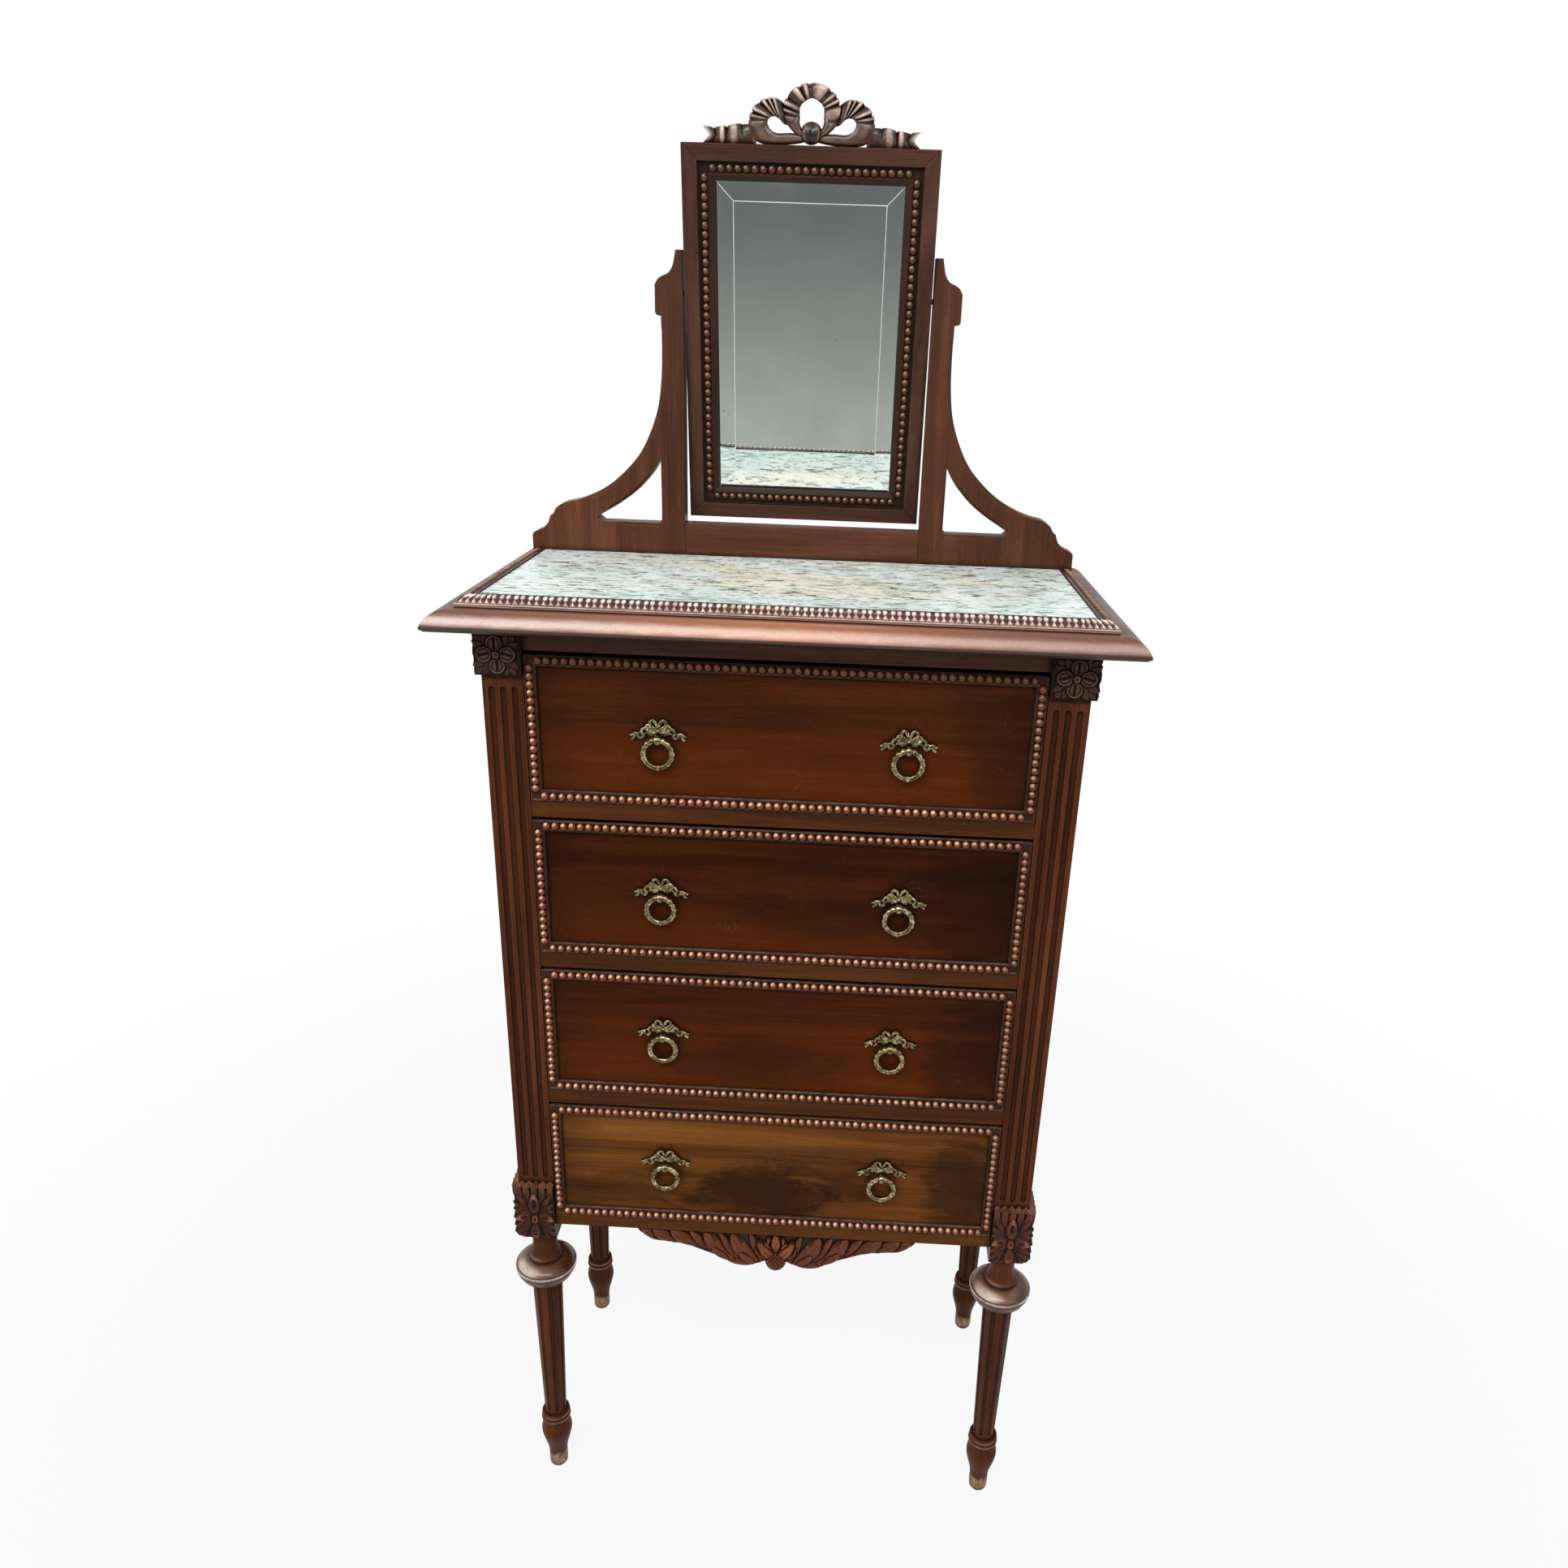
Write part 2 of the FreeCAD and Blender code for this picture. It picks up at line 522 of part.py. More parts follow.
def mirror_beads():
    beads = beaded_frame(*M_X, *M_Z, M_FRONT + 6.0, 24.5, BEAD_R, 25, 38)
    return [leaned(b) for b in beads]


def backing():
    edge = 31.4
    y0 = M_FRONT + 14.4
    return leaned(box(M_X[0] + edge, M_X[1] - edge, y0, y0 + 4.0, M_Z[0] + edge, M_Z[1] - edge))


def crest():
    """Ribbon bow: three loops, a knot and two forked tails, cut off flat on the frame."""
    y = PIVOT_Y - 9.0
    base = M_Z[1]

    def oval(cx, cz, rx, rz, turn=0.0):
        scale = FreeCAD.Matrix()
        scale.scale(V(rx, 1.0, rz))
        pad = Part.makeCylinder(1.0, CREST_T, V(0, 0, 0), V(0, 1, 0)).transformGeometry(scale)
        pad.rotate(V(0, 0, 0), V(0, 1, 0), turn)
        return moved(pad, cx, y, base + cz)

    solid = [oval(0, 36.0, 29.5, 22.2)]
    holes = [oval(0, 33.4, 13.0, 12.0)]
    for s in (-1, 1):
        solid.append(oval(s * 43.0, 21.4, 24.6, 22.4))
        holes.append(oval(s * 36.0, 19.6, 12.4, 8.0, s * 38.0))
        tail = [(s * 60.0, -2.0), (s * 118.0, -2.0), (s * 110.0, 8.6), (s * 118.4, 17.4), (s * 100.0, 14.4),
                (s * 84.0, 17.4), (s * 66.0, 21.6), (s * 60.0, 18.0)]
        solid.append(polygon_face([(px, y, base + pz) for px, pz in tail]).extrude(V(0, CREST_T, 0)))
    bow = solid[0].fuse(solid[1:]).cut(holes)
    bow = bow.fuse([oval(0, 11.0, 11.0, 10.4), oval(0, 4.0, 30.0, 5.0)])
    return leaned(bow.common(box(-150.0, 150.0, y - 5.0, y + 30.0, base, base + 90.0)).removeSplitter())


save("mirror_frame", mirror_frame())
save("mirror_beading", mirror_beads())
save("mirror_glass", glass())
save("mirror_back_board", backing())
save("mirror_crest", crest())
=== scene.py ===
import math
import random

import bmesh
import bpy
import numpy as np
from mathutils import Euler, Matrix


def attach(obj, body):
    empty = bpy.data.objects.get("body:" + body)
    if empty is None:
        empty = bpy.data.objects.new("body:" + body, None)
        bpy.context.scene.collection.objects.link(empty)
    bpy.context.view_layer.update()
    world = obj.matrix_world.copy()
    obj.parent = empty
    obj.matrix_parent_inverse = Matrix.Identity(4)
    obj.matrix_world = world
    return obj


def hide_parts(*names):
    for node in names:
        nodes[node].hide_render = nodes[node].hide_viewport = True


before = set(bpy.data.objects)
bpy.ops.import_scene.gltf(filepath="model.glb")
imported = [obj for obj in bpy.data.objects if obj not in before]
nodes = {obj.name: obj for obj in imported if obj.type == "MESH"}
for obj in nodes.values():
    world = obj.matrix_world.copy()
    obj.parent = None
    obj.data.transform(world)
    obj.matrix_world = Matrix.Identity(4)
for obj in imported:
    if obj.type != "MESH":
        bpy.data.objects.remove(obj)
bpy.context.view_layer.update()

# Dressing table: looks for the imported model. Lengths are millimetres until a mesh is made.
MM = 0.001
scene = bpy.context.scene
DRAWERS = ["drawer_%d" % n for n in (1, 2, 3, 4)]
SIDES = (("left", -1), ("right", 1))

# Measures that repeat the solids
FRONT_Y = -153.0
FIELD_Y = -149.0
POST_IN = 276.0
BLOCK_X = 325.0
BLOCK_Y = -158.0
BLOCK_W = 49.0
BLOCK_PROUD = 5.0
ROSETTE_LOW = 1164.0
LOW_BLOCK_LOW = 418.0
LOW_BLOCK_H = 85.0
LOW_BLOCK_ROUND = 12.0
DRAWER_HALF_W = 275.0
DRAWER_LOW = [1022.0, 834.0, 646.0, 458.0]
DRAWER_H = 165.0
BEAD_R = 4.2
PULL_X = 134.0
PULL_Z = [1100.0, 913.5, 729.5, 542.5]
RING_R = 15.4
EYE_Y = -158.0
TOP_X = 366.0
TOP_Y = 200.0
STAND_Y = 123.0
STAND_T = 26.0
UPRIGHT_IN = 143.5
PIVOT_Y = 133.0
PIVOT_Z = 1546.5
MIRROR_LEAN = math.radians(8.5)
MIRROR_X = 141.5
MIRROR_LOW = 1290.0
MIRROR_TOP = 1700.0
MIRROR_MID = (MIRROR_LOW + MIRROR_TOP) / 2
MIRROR_HALF_H = (MIRROR_TOP - MIRROR_LOW) / 2
MIRROR_FRONT_Y = 121.0
BEVEL_IN = 56.0
APRON_X = 5.0
APRON_Y = -147.0
APRON_HALF_W = 178.0
APRON_TOP_Z = 441.0

# Mesh building; a plain surface counts as half raised
PLAIN = 0.5
POLE_GAP = 0.04
MERGE_DISTANCE = 0.00001


def turns(count):
    """Angles once round, in equal steps."""
    return [2 * math.pi * k / count for k in range(count)]


def clamp(value):
    return min(max(value, 0.0), 1.0)


def ramp_between(value, lo, hi, soft):
    """1 between lo and hi, falling to 0 over a soft stretch inside each end."""
    return clamp((value - lo) / soft) * clamp((hi - value) / soft)


def smooth_line(points, steps):
    """A smooth line through the points; each point may carry more than two values."""
    pts = [np.array(p, float) for p in points]
    last = len(pts) - 1
    line = []
    for k in range(last):
        a, b, c, d = pts[max(k - 1, 0)], pts[k], pts[k + 1], pts[min(k + 2, last)]
        for n in range(steps):
            t = n / steps
            line.append(0.5 * (2 * b + (c - a) * t + (2 * a - 5 * b + 4 * c - d) * t ** 2
                               + (3 * b - a - 3 * c + d) * t ** 3))
    return line + [pts[last]]


class Shape:
    """Points and faces of one piece while it is being made."""

    def __init__(self):
        self.verts = []
        self.faces = []
        self.raised = []

    def skin(self, rows, ends="caps"):
        """Faces between rows of points: a bar with caps, a pipe without, a ring or a sheet.
        A fourth value of a point is 0 in a hollow of a carving and 1 on its highest place; the wood materials
        paint the low values dark as shade and the high ones pale as highlight."""
        start, count = len(self.verts), len(rows[0])
        for row in rows:
            self.verts.extend(point[:3] for point in row)
            self.raised.extend(point[3] if len(point) > 3 else PLAIN for point in row)
        for r in range(len(rows) if ends == "ring" else len(rows) - 1):
            a, b = start + r * count, start + (r + 1) % len(rows) * count
            for p in range(count - 1 if ends == "sheet" else count):
                q = (p + 1) % count
                self.faces.append((a + p, a + q, b + q, b + p))
        if ends == "caps":
            self.faces.append(tuple(range(start + count - 1, start - 1, -1)))
            self.faces.append(tuple(range(len(self.verts) - count, len(self.verts))))

    def ball(self, centre, radii, around, rings, bump=lambda polar, turn: 1.0):
        """Ball whose pole faces the front; bump says how far out each place stands."""
        rows = []
        for r in range(rings + 1):
            polar = POLE_GAP + (math.pi - 2 * POLE_GAP) * r / rings
            row = []
            for turn in turns(around):
                grow = bump(polar, turn)
                unit = (math.sin(polar) * math.cos(turn), -math.cos(polar), math.sin(polar) * math.sin(turn))
                spot = [c + grow * s * u for c, s, u in zip(centre, radii, unit)]
                row.append((*spot, clamp(PLAIN + 5.0 * (grow - 1.0))))
            rows.append(row)
        self.skin(rows)

    def rod(self, x, z, y0, y1, radii, around=16):
        """Turned bar along Y, with a radius for each step of its length."""
        rows = []
        for k, radius in enumerate(radii):
            y = y0 + (y1 - y0) * k / (len(radii) - 1)
            rows.append([(x + radius * math.cos(t), y, z + radius * math.sin(t)) for t in turns(around)])
        self.skin(rows)

    def relief(self, place, us, vs, heights, crown, foot):
        """Carved field: heights over a grid, with side walls down to its foot; crown marks edges painted
        bright as a highlight.
        """
        us, vs = np.pad(us, 1, mode="edge"), np.pad(vs, 1, mode="edge")
        level = np.pad(np.maximum(np.clip(heights / heights.max(), 0, 1), crown), 1, mode="edge")
        heights = np.pad(heights, 1, constant_values=foot)
        self.skin([[(*place(u, v, heights[i, j]), level[i, j]) for j, v in enumerate(vs)]
                   for i, u in enumerate(us)], "sheet")

    def join(self, other, move):
        """Another shape's points and faces, moved into place."""
        start = len(self.verts)
        self.verts.extend(move(v) for v in other.verts)
        self.raised.extend(other.raised)
        self.faces.extend(tuple(start + n for n in f) for f in other.faces)


def in_scene(name, mesh, material):
    mesh.materials.append(material)
    obj = bpy.data.objects.new(name, mesh)
    scene.collection.objects.link(obj)
    return obj


def piece(name, shape, body, material, stands_for=(), sharp=40.0):
    """One new object in the scene, riding on its body."""
    mesh = bpy.data.meshes.new(name)
    mesh.from_pydata([tuple(float(c) * MM for c in v) for v in shape.verts], [], shape.faces)
    level = mesh.attributes.new("raised", "FLOAT", "POINT")
    level.data.foreach_set("value", [float(r) for r in shape.raised])
    work = bmesh.new()
    work.from_mesh(mesh)
    bmesh.ops.remove_doubles(work, verts=work.verts, dist=MERGE_DISTANCE)
    bmesh.ops.recalc_face_normals(work, faces=work.faces)
    work.to_mesh(mesh)
    work.free()
    mesh.shade_smooth()
    mesh.set_sharp_from_angle(angle=math.radians(sharp))
    obj = in_scene(name, mesh, material)
    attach(obj, body)
    if stands_for:
        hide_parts(*stands_for)


# Material building; colours are given as they are seen on a screen, in steps of 255
# Dark brown for pores, dark joints and the painted shade in hollows
PORE_JOINT_AND_SHADE_BROWN = (18, 10, 8)
COPPER = (150, 92, 62)
WHITE = (1.0, 1.0, 1.0, 1.0)


def tone(*colour):
    """A screen colour, turned into the shader's linear scale."""
    parts = [c / 255.0 for c in colour]
    return (*(c / 12.92 if c <= 0.04045 else ((c + 0.055) / 1.055) ** 2.4 for c in parts), 1.0)


class Graph:
    """Short hand for the nodes of one material, or of the world."""

    def __init__(self, name, kind=bpy.data.materials):
        self.owner = kind.new(name)
        self.owner.use_nodes = True
        self.tree = self.owner.node_tree
        self.tree.nodes.clear()
        self.place = self.add("ShaderNodeTexCoord").outputs["Object"]
        self.split = self.add("ShaderNodeSeparateXYZ", {0: self.place}).outputs

    def add(self, kind, inputs=None, **settings):
        node = self.tree.nodes.new(kind)
        for key, value in settings.items():
            setattr(node, key, value)
        for key, value in (inputs or {}).items():
            self.put(node.inputs[key], value)
        return node

    def put(self, socket, value):
        if isinstance(value, bpy.types.NodeSocket):
            self.tree.links.new(value, socket)
        else:
            socket.default_value = value

    def stretch(self, scale, shift=(0, 0, 0), vector=None):
        inputs = {"Vector": vector or self.place, "Scale": scale, "Location": shift}
        return self.add("ShaderNodeMapping", inputs).outputs[0]

    def noise(self, vector, scale, detail=4.0, rough=0.55, twist=0.0, out="Fac"):
        inputs = {"Vector": vector, "Scale": scale, "Detail": detail, "Roughness": rough, "Distortion": twist}
        return self.add("ShaderNodeTexNoise", inputs).outputs[out]

    def span(self, value, lo, hi, to_lo=0.0, to_hi=1.0):
        inputs = {"Value": value, "From Min": lo, "From Max": hi, "To Min": to_lo, "To Max": to_hi}
        return self.add("ShaderNodeMapRange", inputs, interpolation_type="SMOOTHSTEP").outputs[0]

    def calc(self, operation, a, b=0.0):
        return self.add("ShaderNodeMath", {0: a, 1: b}, operation=operation).outputs[0]

    def plus(self, a, b):
        return self.calc("ADD", a, b)

    def less(self, a, b):
        return self.calc("SUBTRACT", a, b)

    def size(self, a):
        return self.calc("ABSOLUTE", a)

    def apart(self, a, b):
        return self.size(self.less(a, b))

    def most(self, a, b):
        return self.calc("MAXIMUM", a, b)

    def times(self, *values):
        total = values[0]
        for value in values[1:]:
            total = self.calc("MULTIPLY", total, value)
        return total

    def dot(self, a, b):
        return self.add("ShaderNodeVectorMath", {0: a, 1: b}, operation="DOT_PRODUCT").outputs["Value"]

    def ramp(self, value, stops):
        node = self.add("ShaderNodeValToRGB", {"Fac": value})
        bar = node.color_ramp.elements
        while len(bar) < len(stops):
            bar.new(0.5)
        for element, (position, colour) in zip(bar, stops):
            element.position = position
            element.color = tone(*colour)
        return node.outputs["Color"]

    def mix(self, amount, a, b):
        return self.add("ShaderNodeMix", {0: amount, 6: a, 7: b}, data_type="RGBA").outputs[2]

    def tint(self, colour, target, *amounts):
        """The colour, turned towards a screen colour by all the amounts together."""
        return self.mix(self.times(*amounts), colour, tone(*target))

    def choose(self, amount, a, b):
        return self.add("ShaderNodeMix", {0: amount, 4: a, 5: b}, data_type="VECTOR").outputs[1]

    def turned(self, way):
        """How far the surface of the piece faces one way: 1 straight on, 0 square to it."""
        return self.dot(self.add("ShaderNodeTexCoord").outputs["Normal"], way)

    def hollow(self, reach):
        """0 deep in a hollow, 1 on open ground."""
        return self.add("ShaderNodeAmbientOcclusion", {"Distance": reach}, samples=6).outputs["AO"]

    def raised(self):
        return self.add("ShaderNodeAttribute", attribute_name="raised").outputs["Fac"]

    def rounded(self):
        """Surface direction with the sharp edges eased."""
        return self.add("ShaderNodeBevel", {"Radius": 0.0012}, samples=4).outputs[0]

    def surface(self, shader):
        self.add("ShaderNodeOutputMaterial", {"Surface": shader.outputs[0]})
        return self.owner

    def finish(self, **inputs):
        return self.surface(self.add("ShaderNodeBsdfPrincipled", inputs))


def past_edges(g, up, middle, half_height, half_width):
    """How far a place lies past the top or foot, and past the sides, of an upright box."""
    over = g.less(g.apart(up, middle * MM), half_height * MM)
    return over, g.less(g.size(g.split["X"]), half_width * MM)


def past_frame(g):
    return past_edges(g, g.split["Z"], MIRROR_MID, MIRROR_HALF_H * math.cos(MIRROR_LEAN), MIRROR_X)


def mitre_faces(g):
    """Mirror frame: 1 on its upper and lower members, 0 on its sides, and the seam between them."""
    apart = g.less(*past_frame(g))
    return g.calc("GREATER_THAN", apart, 0.0), g.span(g.size(apart), 0.0003, 0.0009, 0.8, 0.0)


def sight_shade(g, colour, coat):
    """Mirror frame: painted shade over the recess round the beads and the inner slope to the glass."""
    inner = g.span(g.most(*past_frame(g)), -0.017, -0.020)
    return g.tint(colour, (36, 23, 17), inner, 0.75), coat


def wood(name, dark, mid, light, along, shift=0.0, gloss=0.05, coat=0.0, polish=0.2, rough=0.38, stain=0.4,
         grime_and_shade=0.8, hollows=(0.45, 0.95), wear_and_glint=0.45, wear_and_glint_tone=COPPER, carved=False, paint=None):
    """Polished mahogany: figure, pores, uneven stain, dirt and painted shade in the hollows, wear and painted
    highlights on the edges and high places.
    """
    g = Graph(name)
    start = (shift, shift * 1.7, shift * 0.6)
    level, seam = mitre_faces(g) if along == "mitre" else (float(along == "x"), None)

    def grain(length, breadth):
        if along == "y":
            return g.stretch((breadth, length, breadth), start)
        tall = g.stretch((breadth, breadth, length), start)
        return g.choose(level, tall, g.stretch((length, breadth, breadth), start))

    figure = g.noise(grain(1.6, 34.0), 1.0, 7.0, 0.62, 0.7)
    fibre = g.noise(grain(9.0, 420.0), 1.0, 3.0, 0.6)
    pores = g.noise(grain(60.0, 1500.0), 1.0, 2.0, 0.5)
    even = g.stretch((1, 1, 1), start)
    cloud = g.noise(even, 6.5, 4.0, 0.6, 0.4)
    colour = g.ramp(figure, [(0.28, dark), (0.52, mid), (0.76, light)])
    colour = g.tint(colour, light, g.span(fibre, 0.42, 0.72, 0.0, 0.25))
    colour = g.tint(colour, dark, g.span(cloud, 0.42, 0.74, 0.0, stain))
    colour = g.tint(colour, PORE_JOINT_AND_SHADE_BROWN, g.span(pores, 0.58, 0.70, 0.0, 0.45))
    if paint:
        colour, coat = paint(g, colour, coat)
    rub = g.span(g.noise(even, 55.0, 5.0, 0.65), 0.34, 0.62, 0.3, 1.0)
    bump = g.add("ShaderNodeBump", {"Strength": 0.25, "Distance": 0.0004})
    if carved:
        raised = g.raised()
        # Painted shade: the hollows and low places of a carving are darkened as if shade fell in them
        colour = g.tint(colour, PORE_JOINT_AND_SHADE_BROWN, g.span(g.hollow(0.006), 0.25, 0.85, grime_and_shade * 0.7, 0.0))
        colour = g.tint(colour, PORE_JOINT_AND_SHADE_BROWN, g.span(raised, 0.05, 0.50, grime_and_shade, 0.0))
        edges = g.span(raised, 0.62, 1.0)
    else:
        rounded = g.rounded()
        # Painted shade: hollows and corners are darkened by how closed in they are
        colour = g.tint(colour, PORE_JOINT_AND_SHADE_BROWN, g.span(g.hollow(0.009), *hollows, grime_and_shade, 0.0))
        edges = g.span(g.dot(rounded, g.add("ShaderNodeNewGeometry").outputs["Normal"]), 0.985, 0.80)
        g.put(bump.inputs["Normal"], rounded)
    # Wear and painted highlight: edges and the high places of carvings are turned paler
    colour = g.tint(colour, wear_and_glint_tone, edges, rub, wear_and_glint)
    if seam:
        colour = g.tint(colour, PORE_JOINT_AND_SHADE_BROWN, seam)
    g.put(bump.inputs["Height"], g.plus(g.times(pores, -0.5), g.times(fibre, 0.35)))
    return g.finish(**{"Base Color": colour, "Roughness": g.span(cloud, 0.3, 0.7, rough - 0.06, rough + 0.10),
                       "Normal": bump.outputs[0], "Specular IOR Level": gloss, "Coat Weight": coat,
                       "Coat Roughness": polish})


def drawer_patina(low, warm, cool, patches):
    """Drawer fronts: warmer below, with old stains (across, up, half width, half height, amount)."""
    def paint(g, colour, coat):
        drift = g.times(g.noise(g.stretch((1.4, 1, 5.0), (low, 0, low)), 3.2, 4.0, 0.6, 0.8), 0.10)
        lower = g.span(g.plus(g.split["Z"], drift), low * MM + 0.185, low * MM + 0.075)
        colour = g.tint(colour, (104, 46, 10), lower, warm)
        rim = g.span(g.plus(g.size(g.split["X"]), drift), 0.255, 0.320)
        colour = g.tint(colour, cool, rim, 0.4)
        ragged = g.noise(g.stretch((1.0, 1.0, 2.6), (low * 2, 0, 0)), 12.0, 6.0, 0.65, 0.8)
        for x, up, half_width, half_height, amount in patches:
            du = g.times(g.less(g.split["X"], x * MM), 1 / (half_width * MM))
            dv = g.times(g.less(g.split["Z"], (low + up) * MM), 1 / (half_height * MM))
            off = g.calc("SQRT", g.plus(g.times(du, du), g.times(dv, dv)))
            off = g.plus(off, g.times(g.less(ragged, 0.5), 2.2))
            colour = g.tint(colour, cool, g.span(off, 1.2, 0.5, 0.0, amount))
        hair = g.apart(g.noise(g.stretch((1, 1, 1.6), (low, 0, 0)), 17.0, 2.0), 0.5)
        broken = g.span(g.noise(g.place, 26.0, 2.0), 0.54, 0.66)
        return g.tint(colour, (150, 98, 70), g.span(hair, 0.0035, 0.0), broken, 0.2), coat
    return paint


# Places of the painted highlights, the painted shade and the bulb's polish, in metres, and the ways that the
# painted highlights face
BULB_HIGHLIGHT_WAY = (-0.45, -0.50, 0.74)
HIGHLIGHT_WAY = (-0.30, -0.54, 0.79)
HIGHLIGHT_SPAN = (0.70, 0.98)
UP = (0.0, 0.0, 1.0)
TOP_SHADOW_Z = (1.150, 1.172)
DRAWER_GAP_SHADOW_Z = (1.1836, 1.1846)
TOP_UNDER_SHADE_Z = (1.2226, 1.2244)
BULB_HIGHLIGHT_BAND = (0.364, 0.016)
BULB_POLISH = (0.360, 0.022)
LEG_GLINT_LINES = ((0.0905, 0.0018), (0.0972, 0.0018))


def leg_wear_and_sheen(g, colour, coat):
    """Pale lines on the turnings, partly wear and partly painted highlight, a painted highlight and a real
    coat on the bulb, and pale dusty feet.
    """
    height = g.split["Z"]
    rub = g.span(g.noise(g.place, 60.0, 4.0, 0.6), 0.36, 0.62, 0.25, 1.0)

    def band(middle, half):
        return g.span(g.apart(height, middle), half, half * 0.4)

    # Painted highlight: the upper side of the bulb is turned pale where it faces the light, with a small
    # bright spot in its middle
    crown = g.turned(BULB_HIGHLIGHT_WAY)
    shoulder_highlight = g.times(band(*BULB_HIGHLIGHT_BAND), g.span(rub, 0.25, 1.0, 0.75, 1.0))
    colour = g.tint(colour, (188, 150, 124), shoulder_highlight, g.span(crown, 0.50, 1.0), 0.34)
    colour = g.tint(colour, (240, 222, 210), shoulder_highlight, g.span(crown, 0.86, 1.0), 0.60)
    # Wear and painted highlight: pale lines on the rings of the turnings
    lines = g.most(*(band(*line) for line in LEG_GLINT_LINES))
    colour = g.tint(colour, (180, 148, 126), lines, rub, 0.55)
    foot = g.plus(height, g.times(g.noise(g.place, 90.0, 4.0), 0.014))
    dusty = g.ramp(g.noise(g.stretch((260.0, 260.0, 60.0)), 1.0, 4.0, 0.6),
                   [(0.32, (102, 76, 56)), (0.52, (152, 123, 96)), (0.70, (188, 161, 134))])
    return g.mix(g.span(foot, 0.036, 0.024), colour, dusty), g.times(band(*BULB_POLISH), 0.6)


def ledge_dust_and_sheen(g, colour, coat):
    """Bead strips: paler on the ledges that face up, partly dust and partly painted highlight, and a painted
    shadow along the top edge of the highest drawer.
    """
    rub = g.span(g.noise(g.place, 90.0, 4.0, 0.6), 0.36, 0.62, 0.3, 1.0)
    # Dust and painted highlight: ledges that face up are turned pale
    colour = g.tint(colour, (146, 116, 102), g.span(g.turned(UP), 0.35, 0.85), rub, 0.5)
    # Painted shadow: a near-black line along the top edge of the highest drawer, under the rail
    return g.tint(colour, (9, 7, 8), g.span(g.split["Z"], *DRAWER_GAP_SHADOW_Z)), coat


def bead_highlights_and_shade(g, colour, coat):
    """Beads: a painted highlight on the side that faces up and to the front, with painted shade on the row
    under the top board and towards the right end.
    """
    unshaded = g.times(g.span(g.split["Z"], *TOP_SHADOW_Z, 1.0, 0.1), g.span(g.split["X"], 0.20, 0.27, 1.0, 0.5))
    rub = g.span(g.noise(g.place, 120.0, 3.0, 0.6), 0.36, 0.60, 0.55, 1.0)
    # Painted shade: darker where the top board's shadow falls and towards the right end
    colour = g.tint(colour, (58, 34, 24), g.span(unshaded, 0.9, 0.1, 0.0, 0.55))
    # Painted highlight: a pale spot on each bead
    crown = g.span(g.turned(HIGHLIGHT_WAY), *HIGHLIGHT_SPAN)
    return g.tint(colour, (240, 198, 170), crown, unshaded, rub, 0.85), coat


def mirror_bead_highlights(g, colour, coat):
    """Beads of the mirror: a small painted highlight on the side that faces up."""
    return g.tint(colour, (206, 168, 146), g.span(g.turned(HIGHLIGHT_WAY), *HIGHLIGHT_SPAN), 0.55), coat


def joint_lines(g, colour, coat):
    """Rail of the mirror stand: a dark line where it meets each upright."""
    edge = g.span(g.size(g.split["X"]), (UPRIGHT_IN - 0.9) * MM, (UPRIGHT_IN - 0.3) * MM)
    return g.tint(colour, PORE_JOINT_AND_SHADE_BROWN, edge, 0.7), coat


def top_tone_and_sheen(g, colour, coat):
    """Top board: front moulding warmer and lighter in its middle, with a painted highlight along its belly
    that is weaker at the right end, and painted shade underneath.
    """
    height = g.split["Z"]
    cloud = g.noise(g.stretch((1.0, 4.0, 4.0)), 40.0, 5.0, 0.65)
    ragged = g.plus(height, g.times(g.less(cloud, 0.5), 0.004))
    front = g.span(g.split["Y"], -0.170, -0.180)
    across = g.span(g.split["X"], -TOP_X * MM, TOP_X * MM)
    warm = g.ramp(across, [(0.0, (108, 68, 52)), (0.25, (152, 96, 70)), (0.55, (166, 102, 68)),
                           (1.0, (106, 67, 51))])
    colour = g.mix(g.times(front, 0.85), colour, warm)
    # Painted highlight: a pale speckled band along the belly of the front moulding
    speck = g.span(g.noise(g.place, 800.0, 3.0, 0.65), 0.32, 0.62, 0.70, 1.0)
    belly = g.times(g.span(ragged, 1.2232, 1.2284), g.span(ragged, 1.2358, 1.2300), speck)
    highlight_tones = g.ramp(across, [(0.0, (208, 184, 176)), (0.45, (214, 178, 158)), (1.0, (186, 156, 150))])
    colour = g.mix(g.times(belly, front, g.span(across, 0.55, 1.0, 1.0, 0.7)), colour, highlight_tones)
    # Painted shade: dark on the lower lip and the underside of the top board
    above = g.span(height, *TOP_UNDER_SHADE_Z)
    return g.tint(colour, (52, 33, 26), g.less(1.0, above)), g.times(above, coat)


